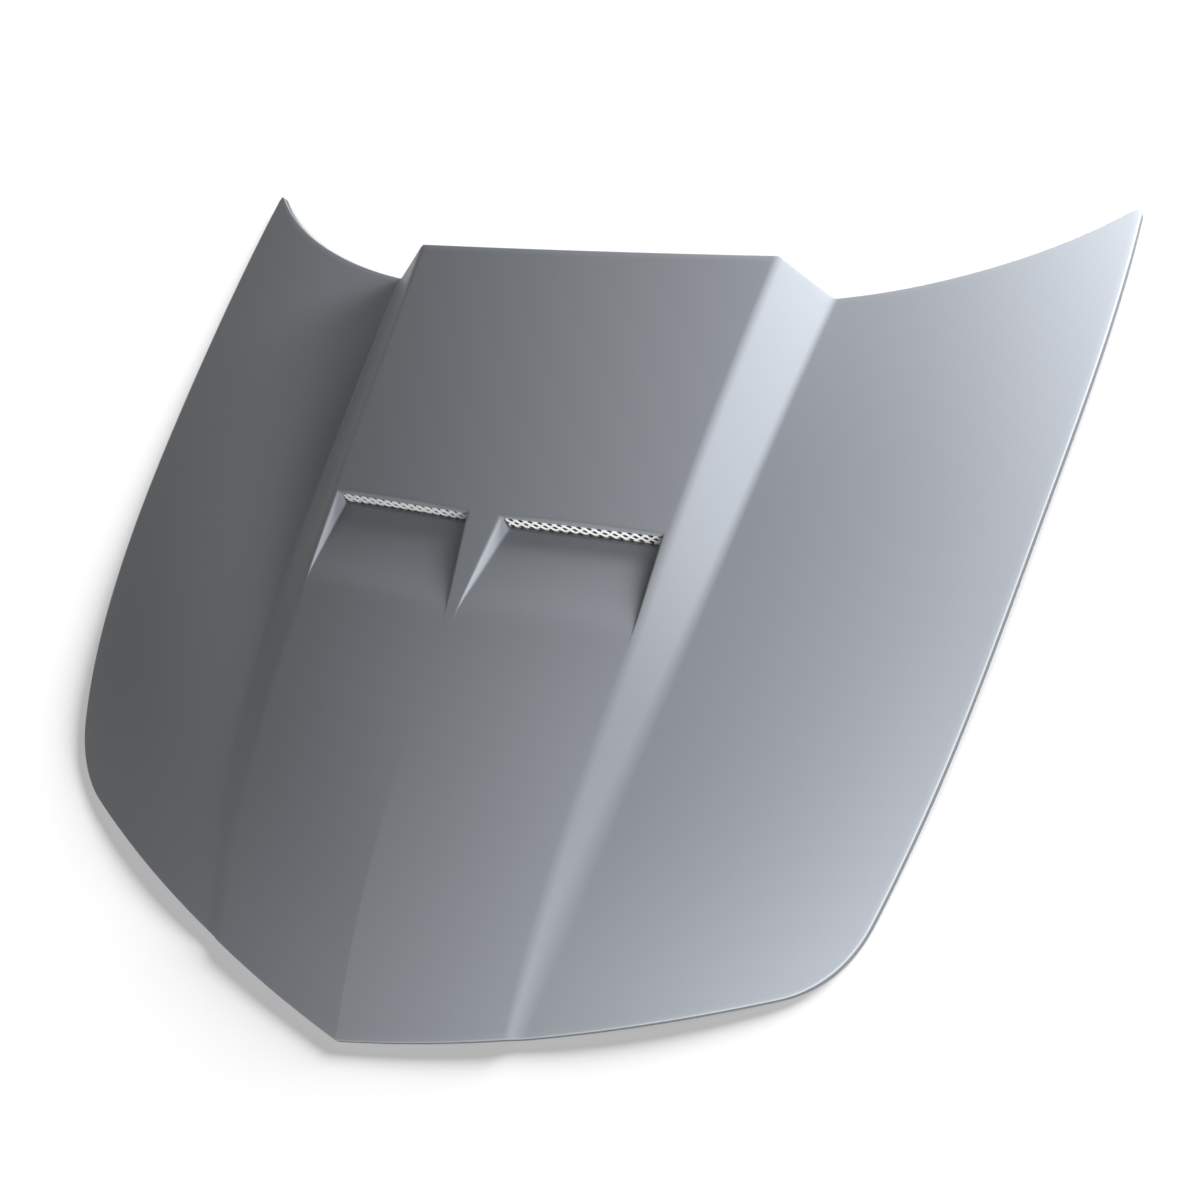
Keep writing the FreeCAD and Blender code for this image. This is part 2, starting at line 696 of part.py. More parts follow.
class FrameForm:
    """The inner frame: channels round six windows, open upward and bonded to the skin."""

    def __init__(self, skin):
        self.skin = skin
        self.size = skin.size

    def inner_x(self, station, rib=0.0):
        """Side distance of a line beside the cowl's foot, or of the rib outside it."""
        return self.skin.at("valley_width", station) + self.size("cowl_rib_gap") + rib

    def outer_x(self, station, band):
        return self.skin.at("panel_width", station) - band

    def windows(self):
        """Corners of the six windows, each in left-turning order, at height zero."""
        size = self.size
        rib, side = size("cowl_rib_width"), size("side_band")
        front, rear = size("centre_window_front"), size("centre_window_rear")
        right = [(self.inner_x(front), front), (self.inner_x(rear), rear)]
        left = [(-x, y) for x, y in reversed(right)]
        centre = [(0.0, size("centre_window_tip"))] + right + left

        front, rear = size("cowl_window_front"), size("cowl_window_rear")
        right = [(self.inner_x(front), front), (self.inner_x(rear), rear)]
        cowl = right + [(-x, y) for x, y in reversed(right)]

        front, rear = size("corner_window_front"), size("corner_window_rear")
        turn, start = size("corner_window_corner"), size("corner_window_side")
        corner = [(self.inner_x(front, rib), front),
                  (self.outer_x(turn, size("corner_band")), turn),
                  (self.outer_x(start, side), start),
                  (self.outer_x(rear, side), rear),
                  (self.inner_x(rear, rib), rear)]

        front, rear = size("panel_window_front"), size("panel_window_rear")
        end = size("panel_window_side")
        panel = [(self.inner_x(front, rib), front),
                 (self.outer_x(front, side), front),
                 (self.outer_x(end, side), end),
                 (self.inner_x(rear, rib), rear)]

        mirrored = [[(-x, y) for x, y in reversed(form)] for form in (corner, panel)]
        forms = [centre, cowl, corner, panel] + mirrored
        return [[Vector(x, y, 0) for x, y in form] for form in forms]

    def punches(self, outward):
        """Each window as a solid that narrows upward by the draft, moved outward all round."""
        radius = self.size("window_radius")
        slope = math.tan(math.radians(self.size("window_draft")))
        solids = []
        for corners in self.windows():
            wires = [rounded_wire(corners, radius, outward - slope * z, z)
                     for z in (FRAME_BELOW, FRAME_ABOVE)]
            solids.append(Part.makeLoft(wires, True, True))
        return solids

    def pads(self, inset, rise):
        """Prisms over the hinge pads and the latch pad, their floors raised by rise."""
        size = self.size
        margin = size("pad_margin") - inset
        places = [("latch", 0.0), ("hinge", size("hinge_width")), ("hinge", -size("hinge_width"))]
        solids = []
        for name, x in places:
            centre = Vector(x, size(name + "_station"), 0)
            half_x = size(name + "_plate_width") / 2.0
            half_y = size(name + "_plate_length") / 2.0
            corners = [centre + Vector(x * half_x, y * half_y, 0)
                       for x, y in ((-1, -1), (1, -1), (1, 1), (-1, 1))]
            floor = size(name + "_pad_height") + rise
            wire = rounded_wire(corners, size("pad_radius") - inset, margin, floor)
            solids.append(Part.Face(wire).extrude(Vector(0, 0, ABOVE - floor)))
        return solids

    def bolt_holes(self):
        size = self.size
        solids = []
        for name in ("hinge", "latch"):
            for x, y in bolt_places(size, name):
                start = Vector(x, y, size(name + "_pad_height") - 1.0)
                solids.append(Part.makeCylinder(size("bolt_hole_radius"), size("frame_wall") + 2.0, start))
        return solids

    def shape(self):
        size = self.size
        wall = size("frame_wall")
        edge = size("skin_wall") + size("frame_edge_gap")
        top = size("skin_wall") + size("bond_gap")
        draft = math.radians(size("window_draft"))
        upper = self.skin.block(top)
        below = self.skin.block(level=(size("frame_level"), size("frame_drop")))
        below = below.cut(self.pads(0.0, 0.0))
        body = upper.common(Outline(size, edge).prism()).cut(below)
        floor = self.skin.block(level=(size("frame_level"), size("frame_drop") - wall))
        floor = floor.cut(self.pads(wall, wall))
        core = upper.common(Outline(size, edge + wall).prism()).cut(floor)
        core = core.cut(self.punches(wall / math.cos(draft)))
        flange = self.skin.block(top + wall)
        recesses = [flange.common(punch) for punch in self.punches(0.0)]
        frame = body.cut(core).cut(recesses)
        return frame.cut(self.punches(-size("bond_flange"))).cut(self.bolt_holes())


def bolt_places(size, name):
    """Plan positions of the bolts at the hinges or the latch."""
    half = size(name + "_bolt_spacing") / 2.0
    if name == "latch":
        return [(-half, size("latch_station")), (half, size("latch_station"))]
    x, y = size("hinge_width"), size("hinge_station")
    return [(side * x, y + end * half) for side in (-1, 1) for end in (-1, 1)]


def add_feature(doc, name, shape):
    feature = doc.addObject("Part::Feature", name)
    feature.Shape = shape
    return feature


def origin_plane(body, role):
    return [plane for plane in body.Origin.OriginFeatures if plane.Role == role][0]


def add_plate(doc, name, kind):
    """A steel plate with two bolt holes and rounded corners, its middle at the origin."""
    body = doc.addObject("PartDesign::Body", name)
    sketch = body.newObject("Sketcher::SketchObject", name + "_sketch")
    sketch.AttachmentSupport = (origin_plane(body, "XY_Plane"), [""])
    sketch.MapMode = "FlatFace"
    corners = [Vector(x, y, 0) for x, y in ((-10, -10), (10, -10), (10, 10), (-10, 10))]
    for start, end in zip(corners, corners[1:] + corners[:1]):
        sketch.addGeometry(Part.LineSegment(start, end))
    for line in range(4):
        sketch.addConstraint(Sketcher.Constraint("Coincident", line, 2, (line + 1) % 4, 1))
    for line, direction in enumerate(("Horizontal", "Vertical", "Horizontal", "Vertical")):
        sketch.addConstraint(Sketcher.Constraint(direction, line))
    sketch.addConstraint(Sketcher.Constraint("Symmetric", 0, 1, 2, 1, -1, 1))
    named_constraint(sketch, "width", Sketcher.Constraint("DistanceX", 0, 1, 0, 2, 20.0),
                     "sizes.%s_plate_width" % kind)
    named_constraint(sketch, "length", Sketcher.Constraint("DistanceY", 1, 1, 1, 2, 20.0),
                     "sizes.%s_plate_length" % kind)

    along, across, axis = ("DistanceX", "y", -1) if kind == "latch" else ("DistanceY", "x", -2)
    for side in (-1, 1):
        centre = Vector(5.0 * side, 0, 0) if kind == "latch" else Vector(0, 5.0 * side, 0)
        circle = sketch.addGeometry(Part.Circle(centre, Vector(0, 0, 1), 2.0))
        sketch.addConstraint(Sketcher.Constraint("PointOnObject", circle, 3, axis))
        named_constraint(sketch, "bore%d" % circle, Sketcher.Constraint("Radius", circle, 2.0),
                         "sizes.bolt_hole_radius")
        ends = (-1, 1, circle, 3) if side > 0 else (circle, 3, -1, 1)
        named_constraint(sketch, "place%d" % circle, Sketcher.Constraint(along, *ends, 5.0),
                         "sizes.%s_bolt_spacing / 2" % kind)

    pad = body.newObject("PartDesign::Pad", name + "_pad")
    pad.Profile = sketch
    pad.setExpression("Length", "sizes.plate_wall")
    doc.recompute()
    upright = ["Edge%d" % number for number, edge in enumerate(pad.Shape.Edges, start=1)
               if isinstance(edge.Curve, Part.Line) and abs(edge.tangentAt(0).z) > 0.9]
    fillet = body.newObject("PartDesign::Fillet", name + "_corners")
    fillet.Base = (pad, upright)
    fillet.setExpression("Radius", "sizes.plate_radius")
    body.Tip = fillet
    return body


def named_constraint(sketch, name, constraint, expression):
    index = sketch.addConstraint(constraint)
    sketch.renameConstraint(index, name)
    sketch.setExpression("Constraints." + name, expression)


def add_nut(doc, name, x, y):
    """A flanged hexagon nut standing on its flange, its bore on the bolt's axis."""
    hexagon = doc.addObject("Part::Prism", name + "_hexagon")
    hexagon.Polygon = 6
    hexagon.setExpression("Circumradius", "sizes.nut_across_flats / 2 / cos(30 deg)")
    hexagon.setExpression("Height", "sizes.nut_height")
    flange = doc.addObject("Part::Cylinder", name + "_flange")
    flange.setExpression("Radius", "sizes.nut_flange_radius")
    flange.setExpression("Height", "sizes.nut_flange_height")
    solid = doc.addObject("Part::Fuse", name + "_solid")
    solid.Base = hexagon
    solid.Tool = flange
    bore = doc.addObject("Part::Cylinder", name + "_bore")
    bore.setExpression("Radius", "sizes.nut_bore_radius")
    bore.setExpression("Height", "sizes.nut_height")
    nut = doc.addObject("Part::Cut", name)
    nut.Base = solid
    nut.Tool = bore
    nut.setExpression("Placement.Base.x", x)
    nut.setExpression("Placement.Base.y", y)
    return nut


def add_nuts(doc, name, kind):
    """The nuts of the hinges or the latch as one sub-part."""
    half = "sizes.%s_bolt_spacing / 2" % kind
    if kind == "latch":
        places = [("-" + half, "sizes.latch_station"), (half, "sizes.latch_station")]
    else:
        places = [(x, "sizes.hinge_station %s %s" % (sign, half))
                  for x in ("-sizes.hinge_width", "sizes.hinge_width") for sign in ("-", "+")]
    nuts = doc.addObject("Part::Compound", name)
    nuts.Links = [add_nut(doc, "%s_nut_%d" % (kind, number), x, y)
                  for number, (x, y) in enumerate(places, start=1)]
    return nuts


def place(feature, x="0", y="0", z="0"):
    """Binds a sub-part's place, moved so that the middle of the resting surface is the origin."""
    feature.Placement = Placement(Vector(0, 0, 0), Rotation())
    feature.setExpression("Placement.Base.x", x)
    feature.setExpression("Placement.Base.y", y + " - sizes.rest_middle")
    feature.setExpression("Placement.Base.z", z + " - sizes.rest_height")
    return feature


def build(doc):
    """All sub-parts of the bonnet as objects of the document."""
    sheet = fill_sheet(doc)
    skin = SkinForm(sheet)
    left, right = InletForm(skin, 1), InletForm(skin, -1)

    outer_skin = add_feature(doc, "outer_skin", outer_skin_shape(skin, (left, right)))
    add_rest(doc, sheet, outer_skin.Shape)
    inner_frame = add_feature(doc, "inner_frame", FrameForm(skin).shape())
    left_mesh = add_feature(doc, "left_inlet_mesh", left.mesh_panel())
    right_mesh = add_feature(doc, "right_inlet_mesh", right.mesh_panel())
    parts = [place(feature) for feature in (outer_skin, inner_frame, left_mesh, right_mesh)]

    rows = [("left_hinge_plate", "hinge", "sizes.hinge_width"),
            ("right_hinge_plate", "hinge", "-sizes.hinge_width"),
            ("latch_plate", "latch", "0")]
    for name, kind, x in rows:
        plate = add_plate(doc, name, kind)
        seat = "sizes.%s_pad_height + sizes.frame_wall + sizes.seat_gap" % kind
        parts.append(place(plate, x, "sizes.%s_station" % kind, seat))

    for name, kind in (("hinge_nuts", "hinge"), ("latch_nuts", "latch")):
        nuts = add_nuts(doc, name, kind)
        seat = "sizes.%s_pad_height + sizes.frame_wall + sizes.plate_wall + 2 * sizes.seat_gap"
        parts.append(place(nuts, "0", "0", seat % kind))
    for part in parts:
        part.Label = part.Name
    doc.recompute()
    return parts


def check(doc, parts):
    """Stops if any object failed or any sub-part is empty or invalid."""
    for thing in doc.Objects:
        if "Invalid" in thing.State or "Error" in thing.State:
            raise RuntimeError("%s failed: %s" % (thing.Name, thing.State))
    for part in parts:
        if part.Shape.isNull() or not part.Shape.isValid():
            raise RuntimeError("%s has no valid shape" % part.Name)


def write(parts):
    os.makedirs("parts", exist_ok=True)
    for part in parts:
        part.Shape.exportStep(os.path.join("parts", part.Label + ".step"))
        print("%-18s %d solids, %3d faces, %8.1f cm3"
              % (part.Label, len(part.Shape.Solids), len(part.Shape.Faces), part.Shape.Volume / 1000.0))


document = FreeCAD.newDocument("ram_air_bonnet")
sub_parts = build(document)
check(document, sub_parts)
write(sub_parts)
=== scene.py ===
import math

import bmesh
import bpy
import numpy as np
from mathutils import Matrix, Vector


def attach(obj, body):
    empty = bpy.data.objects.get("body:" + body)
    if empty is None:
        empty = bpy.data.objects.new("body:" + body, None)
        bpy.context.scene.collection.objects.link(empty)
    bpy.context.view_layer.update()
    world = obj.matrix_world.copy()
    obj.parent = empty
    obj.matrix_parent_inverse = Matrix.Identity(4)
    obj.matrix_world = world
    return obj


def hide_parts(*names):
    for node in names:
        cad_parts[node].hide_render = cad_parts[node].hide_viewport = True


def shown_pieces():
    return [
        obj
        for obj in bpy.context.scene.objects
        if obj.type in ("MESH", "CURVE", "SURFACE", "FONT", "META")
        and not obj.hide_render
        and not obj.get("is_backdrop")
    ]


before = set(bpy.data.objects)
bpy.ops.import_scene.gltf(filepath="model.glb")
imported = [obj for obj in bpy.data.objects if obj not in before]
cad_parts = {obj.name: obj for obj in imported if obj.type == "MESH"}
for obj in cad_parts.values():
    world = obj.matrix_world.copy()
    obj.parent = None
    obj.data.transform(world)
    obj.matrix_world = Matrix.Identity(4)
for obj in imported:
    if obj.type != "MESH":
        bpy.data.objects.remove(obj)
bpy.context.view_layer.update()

# The skin is worked out in millimetres from the nose tip: x to the side, y rearward,
# z up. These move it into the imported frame, whose origin is under the bonnet's middle.
REST_MIDDLE = 641.4738
REST_HEIGHT = -11.93235

# Cross-sections from nose to rear: station, centre height, crest width and height,
# valley width and height, panel width and height.
SECTIONS = np.array([
    (0.0, 0.0, 252.0, -18.0, 263.0, -21.5, 560.0, -38.0),
    (130.0, 38.5, 266.5, 20.0, 285.5, 13.0, 600.0, -19.5),
    (330.0, 71.5, 281.0, 56.0, 321.5, 45.0, 692.0, 9.0),
    (540.0, 83.5, 292.5, 70.5, 349.0, 54.0, 733.5, 24.0),
    (735.0, 92.0, 301.0, 80.0, 363.0, 47.0, 751.0, 24.5),
    (960.0, 93.5, 308.5, 82.5, 377.5, 37.0, 760.0, 15.7),
    (1150.0, 89.0, 317.0, 80.0, 390.0, 24.0, 765.0, 5.0),
])
SKIN_WALL = 3.0
FLANGE_DEPTH = 10.0
# How much the side panels roll down: a height is this times the cube of the run.
PANEL_ROLL = 0.0004 / 1000.0
# The crease along the centreline fades out rearward over this length.
CREASE_SLOPE = 0.055
CREASE_LENGTH = 470.0
# How far the roundings reach from the crest, and from the valley at the nose and rear.
CREST_BLEND = 8.0
VALLEY_BLEND = (24.0, 6.0)
# The largest shares of the cowl's side wall that those two roundings may take.
CREST_SHARE = 0.3
VALLEY_SHARE = 0.6

# Each inlet has an inner side (0) and an outer side (1). For both: the place of its front
# and of the lip over the mesh, and the depth of the recess below the lip.
INLET_FRONT = ((9.0, 588.0), (290.0, 603.0))
INLET_LIP = ((30.5, 727.0), (288.5, 736.0))
INLET_DEPTH = (16.2, 17.0)
# The side distances between which the front, lip and depth change evenly, and the share
# by which a floor goes on beyond them.
ACROSS_INNER = 20.0
ACROSS_OUTER = 289.0
ACROSS_PAST = 0.1
# Nothing of a recess lies beyond this side distance and these stations.
RECESS_SIDE = 330.0
RECESS_STATIONS = (540.0, 780.0)
# On the upper sheet a floor falls evenly from a soft start round the front, which takes
# this share of the way on either side of it. Further ahead the floor stands above the
# surface, at this share of the even slope.
SOFT_START = 0.11
AHEAD_RISE = 0.5
# On the lower sheet it starts with this share of an even fall and gets steeper rearward.
LOWER_START = 0.5
SIDE_FLARE = math.tan(math.radians(25.0))
MESH_LEAN = math.radians(33.0)
LEAN_RUN = math.tan(MESH_LEAN)
LIP_BAND = 3.4
EDGE_ROUND = 3.0
SHARP_EDGE = 0.3
FOOT_ROUND = 3.0
REAR_FOOT_ROUND = 1.5
# The floor and the walls go on past their ends by this share of their length, but the
# walls by a larger share ahead of the front. No wall is higher or lower than the limit.
PAST_ENDS = 0.3
WALL_AHEAD = 0.5
WALL_LIMIT = 60.0
# Rounds after which a floor's depth, a wall and the grid of the skin have settled.
FLOOR_ROUNDS = 8
WALL_ROUNDS = 6
GRID_ROUNDS = 12

# The mesh panels: seat round the slot, top edge below the lip and place behind the mesh
# plane, half diagonals of the diamonds along and up the panel, half thickness and twist
# of a strand, and the first row's height above the panel's lower edge.
MESH_SEAT = 8.0
MESH_TOP = 4.2
MESH_PLACE = 3.9
MESH_LONG = 8.0
MESH_SHORT = 4.5
MESH_HALF = 0.35
MESH_TWIST = -0.45
MESH_FIRST_ROW = 3.0
# Strand widths of the panels on the +x and -x side.
MESH_STRAND = {1: 2.8, -1: 3.9}
# Points of a mesh that lie this close together, in metres, are one.
MESH_MERGE = 2e-5

# The flange round a slot: its reach past the slot, its gap to the skin, the place of its
# upper edge up the mesh plane, that edge's inner end from the slot's corner and the depth
# at which its outer end has the full reach, and how far the flange ends inside the wall.
SEAT_REACH = 9.0
SEAT_GAP = 0.3
SEAT_TOP = -4.3
SEAT_CORNER = 1.5
SEAT_TOP_DEPTH = 3.0
SEAT_SKIM = 0.05

# Rounding of the skin's turned-down edge, and its lower face: how far that reaches to
# the lower sheet, and the height of its inner border.
RIM_RADIUS = 2.0
RIM_LOW_RADIUS = 0.8
RIM_ANGLES = (22.5, 45.0, 67.5, 90.0)
RIM_LOW_ANGLES = (45.0, 90.0)
RIM_FACE_SHARE = 0.8
RIM_FACE_LIFT = 0.6


class SmoothCurve:
    """A natural cubic spline through stations, straight beyond its ends."""

    def __init__(self, stations, values):
        count = len(stations)
        step = np.diff(stations)
        system = np.eye(count)
        right = np.zeros(count)
        for i in range(1, count - 1):
            system[i, i - 1:i + 2] = step[i - 1], 2.0 * (step[i - 1] + step[i]), step[i]
            slopes = np.diff(values[i - 1:i + 2]) / step[i - 1:i + 1]
            right[i] = 6.0 * (slopes[1] - slopes[0])
        self.stations, self.values, self.step = stations, values, step
        self.bends = np.linalg.solve(system, right)

    def __call__(self, station):
        first, last = self.stations[0], self.stations[-1]
        inside = np.clip(station, first, last)
        i = np.clip(np.searchsorted(self.stations, inside) - 1, 0, len(self.step) - 1)
        step = self.step[i]
        low, high = self.bends[i], self.bends[i + 1]
        start, end = self.values[i], self.values[i + 1]
        a = (self.stations[i + 1] - inside) / step
        b = 1.0 - a
        value = a * start + b * end + ((a ** 3 - a) * low + (b ** 3 - b) * high) * step ** 2 / 6.0
        slope = (end - start) / step
        before = slope - step * (2.0 * low + high) / 6.0
        after = slope + step * (low + 2.0 * high) / 6.0
        return value + np.where(station < first, before, after) * (station - inside)


CURVES = [SmoothCurve(SECTIONS[:, 0], SECTIONS[:, field]) for field in range(1, 8)]


def unit2(x, z):
    """A direction in the cross-section, with its length made one."""
    length = np.hypot(x, z)
    return x / length, z / length


def moved_corner(x, z, slope_in, slope_out, drop):
    """A corner of a section, moved inside by drop from both lines that meet there."""
    ax, az = unit2(slope_in, -np.ones_like(slope_in))
    bx, bz = unit2(slope_out, -np.ones_like(slope_out))
    scale = drop / (1.0 + ax * bx + az * bz)
    return x + (ax + bx) * scale, z + (az + bz) * scale


def section_at(station, drop=0.0):
    """The points that shape a cross-section, each as an array over the stations."""
    centre, crest_x, crest_z, valley_x, valley_z, panel_x, panel_z = [c(station) for c in CURVES]
    share = np.clip(1.0 - station / CREASE_LENGTH, 0.0, 1.0)
    crease = CREASE_SLOPE * share * share * (3.0 - 2.0 * share)
    reach = panel_x - valley_x
    fall = (panel_z - valley_z) / reach + PANEL_ROLL * reach ** 2
    bow = (centre - crest_z - crease * crest_x) / crest_x ** 2
    wall = (valley_z - crest_z) / (valley_x - crest_x)
    if drop:
        top_slope = -crease - 2.0 * bow * crest_x
        crest_x, crest_z = moved_corner(crest_x, crest_z, top_slope, wall, drop)
        valley_x, valley_z = moved_corner(valley_x, valley_z, wall, fall, drop)
        centre = centre - drop * np.hypot(1.0, crease)
        bow = (centre - crest_z - crease * crest_x) / crest_x ** 2
    length = np.hypot(valley_x - crest_x, valley_z - crest_z)
    wx, wz = (valley_x - crest_x) / length, (valley_z - crest_z) / length
    share = np.clip(1.0 - station / SECTIONS[-1, 0], 0.0, 1.0)
    valley_blend = VALLEY_BLEND[1] + (VALLEY_BLEND[0] - VALLEY_BLEND[1]) * share * share
    crest_reach = np.minimum(CREST_BLEND, CREST_SHARE * length)
    valley_reach = np.minimum(valley_blend, VALLEY_SHARE * length)

    def meet(x, z, slope, cx, cz):
        """Where a line through x, z meets the wall's line through cx, cz."""
        along = ((cx - x) * slope - (cz - z)) / (wz - wx * slope)
        return cx + wx * along, cz + wz * along

    x0 = crest_x - crest_reach
    z0 = centre - crease * x0 - bow * x0 * x0
    x1, z1 = meet(x0, z0, -crease - 2.0 * bow * x0, crest_x, crest_z)
    x2, z2 = x1 + wx * crest_reach, z1 + wz * crest_reach
    x5 = valley_x + valley_reach
    z5 = valley_z + fall * valley_reach - PANEL_ROLL * valley_reach ** 3
    x4, z4 = meet(x5, z5, fall - 3.0 * PANEL_ROLL * valley_reach ** 2, valley_x, valley_z)
    x3, z3 = x4 - wx * valley_reach, z4 - wz * valley_reach
    return dict(centre=centre, crease=crease, bow=bow, fall=fall, valley_x=valley_x,
                valley_z=valley_z, x=(x0, x1, x2, x3, x4, x5), z=(z0, z1, z2, z3, z4, z5))


def bend(x, px, pz):
    """Height at x on the quadratic Bezier curves with poles px, pz."""
    a = px[0] - 2.0 * px[1] + px[2]
    b = 2.0 * (px[1] - px[0])
    run = np.clip(x - px[0], 0.0, px[2] - px[0])
    t = 2.0 * run / (b + np.sqrt(np.maximum(b * b + 4.0 * a * run, 1e-12)))
    return (1 - t) ** 2 * pz[0] + 2 * t * (1 - t) * pz[1] + t * t * pz[2]


def surface(x, y, drop=0.0):
    """Height of the bonnet's outer surface, or of the surface that far inside it."""
    x = np.abs(x)
    s = section_at(y, drop)
    px, pz = s["x"], s["z"]
    top = s["centre"] - s["crease"] * x - s["bow"] * x * x
    wall = pz[2] + (x - px[2]) * (pz[3] - pz[2]) / (px[3] - px[2])
    run = x - s["valley_x"]
    panel = s["valley_z"] + s["fall"] * run - PANEL_ROLL * run ** 3
    return np.select([x <= px[0], x <= px[2], x <= px[3], x <= px[5]],
                     [top, bend(x, px[:3], pz[:3]), wall, bend(x, px[3:], pz[3:])], panel)


def smooth_min(a, b, reach):
    """The lesser of two heights, blended where they differ by less than reach."""
    h = np.clip(0.5 + 0.5 * (b - a) / reach, 0.0, 1.0)
    return b + (a - b) * h - reach * h * (1.0 - h)


def smooth_max(a, b, reach):
    """The greater of two heights, blended in the same way."""
    return -smooth_min(-a, -b, reach)


def lerp(a, b, share):
    """The value that share of the way from a to b."""
    return a + (b - a) * share


def across_share(x, past=0.0):
    """Share of the way from an inlet's inner to its outer side, and that far past them."""
    return np.clip((x - ACROSS_INNER) / (ACROSS_OUTER - ACROSS_INNER), -past, 1.0 + past)


class Inlet:
    """The recess in front of one mesh panel, as heights over the plan. x is positive."""

    def __init__(self):
        self.inner = np.array([INLET_LIP[0][0], INLET_LIP[0][1], 0.0])
        self.outer = np.array([INLET_LIP[1][0], INLET_LIP[1][1], 0.0])
        for point in (self.inner, self.outer):
            point[2] = surface(point[0], point[1])
        self.across = (self.outer - self.inner) / np.linalg.norm(self.outer - self.inner)
        self.up = np.array([0.0, math.sin(MESH_LEAN), math.cos(MESH_LEAN)])
        normal = np.cross(self.across, self.up)
        normal /= np.linalg.norm(normal)
        self.normal = normal if normal[1] > 0 else -normal

    def edge(self, side, share):
        """x, y of the inner (0) or outer (1) edge line."""
        (fx, fy), (lx, ly) = INLET_FRONT[side], INLET_LIP[side]
        return lerp(fx, lx, share), lerp(fy, ly, share)

    def fade(self, share, inside):
        """Share of the full depth, on the lower sheet if inside. Below nought is ahead of
        the recess."""
        if inside:
            return lerp(np.maximum(share, 0.0) ** 2, share, LOWER_START)
        ahead = AHEAD_RISE * (share + SOFT_START)
        start = (share + SOFT_START) ** 2 / (4.0 * SOFT_START)
        return np.select([share < -SOFT_START, share < SOFT_START], [ahead, start], share)

    def floor(self, x, y, grow):
        """The recess's floor, moved down by grow."""
        across = across_share(x, ACROSS_PAST)
        front = lerp(INLET_FRONT[0][1], INLET_FRONT[1][1], across)
        lip = lerp(INLET_LIP[0][1], INLET_LIP[1][1], across)
        full_depth = lerp(INLET_DEPTH[0], INLET_DEPTH[1], across)
        depth = np.zeros_like(x)
        for _ in range(FLOOR_ROUNDS):
            share = (y + depth * LEAN_RUN - front) / (lip - front)
            depth = self.fade(np.clip(share, -PAST_ENDS, 1.0 + PAST_ENDS), grow) * full_depth
        return surface(x, y + depth * LEAN_RUN) - depth - grow

    def wall(self, x, y, side, grow):
        """The leaning side wall on the inner (0) or outer (1) side, moved out by grow."""
        outward = -1.0 if side == 0 else 1.0
        moved = grow * math.hypot(1.0, SIDE_FLARE)
        depth = np.zeros_like(x)
        front, lip = INLET_FRONT[side][1], INLET_LIP[side][1]
        for _ in range(WALL_ROUNDS):
            share = (y + depth * LEAN_RUN - front) / (lip - front)
            edge_x, edge_y = self.edge(side, np.clip(share, -WALL_AHEAD, 1.0 + PAST_ENDS))
            depth = ((edge_x - x) * outward + moved) / SIDE_FLARE
            depth = np.clip(depth, -WALL_LIMIT, WALL_LIMIT)
        return surface(edge_x, edge_y) - depth

    def place(self, along, rise, back):
        """A point by its distances along and up the mesh plane and behind it."""
        return self.inner + self.across * along + self.up * rise + self.normal * back

    def rear(self, x, y, back):
        """The leaning plane of the mesh, moved back along its normal."""
        point = self.inner + self.normal * back
        fall = self.normal[0] * (x - point[0]) + self.normal[1] * (y - point[1])
        return point[2] - fall / self.normal[2]

    def height(self, x, y, inside):
        """Height of the skin with the recess. Inside is the wall for the lower sheet."""
        base = surface(x, y, inside)
        near = (y > RECESS_STATIONS[0]) & (y < RECESS_STATIONS[1]) & (x < RECESS_SIDE)
        xs, ys = x[near], y[near]
        inner_wall = self.wall(xs, ys, 0, inside)
        outer_wall = self.wall(xs, ys, 1, inside)
        floor = self.floor(xs, ys, inside)
        recess = smooth_max(floor, smooth_max(inner_wall, outer_wall, FOOT_ROUND), FOOT_ROUND)
        recess = smooth_max(recess, self.rear(xs, ys, inside), REAR_FOOT_ROUND)
        # The edge is crisp where the recess starts and rounder where it is deep.
        depth = np.clip((base[near] - floor) / INLET_DEPTH[0], 0.0, 1.0)
        base[near] = smooth_min(base[near], recess, lerp(SHARP_EDGE, EDGE_ROUND, depth))
        return base


INLET = Inlet()


def heading(degrees):
    """The direction at an angle from the x axis, in the plan."""
    a = math.radians(degrees)
    return np.array([math.cos(a), math.sin(a)])


def arc_points(start, angle, radius, turn, count):
    """A left-turning arc from start."""
    centre = start + heading(angle + 90.0) * radius
    return np.array([centre - heading(angle + 90.0 + turn * i / count) * radius
                     for i in range(count + 1)])


def lengths(line):
    """The length along a line up to each of its points."""
    step = np.linalg.norm(np.diff(line, axis=0), axis=1)
    return np.concatenate([[0.0], np.cumsum(step)])


def points_along(line, at):
    """The points of a line at the given lengths along it."""
    return np.stack([np.interp(at, lengths(line), line[:, k]) for k in (0, 1)], 1)


def length_at(line, x):
    """The length along a line at which it has the given x."""
    order = np.argsort(line[:, 0])
    return np.interp(x, line[order, 0], lengths(line)[order])


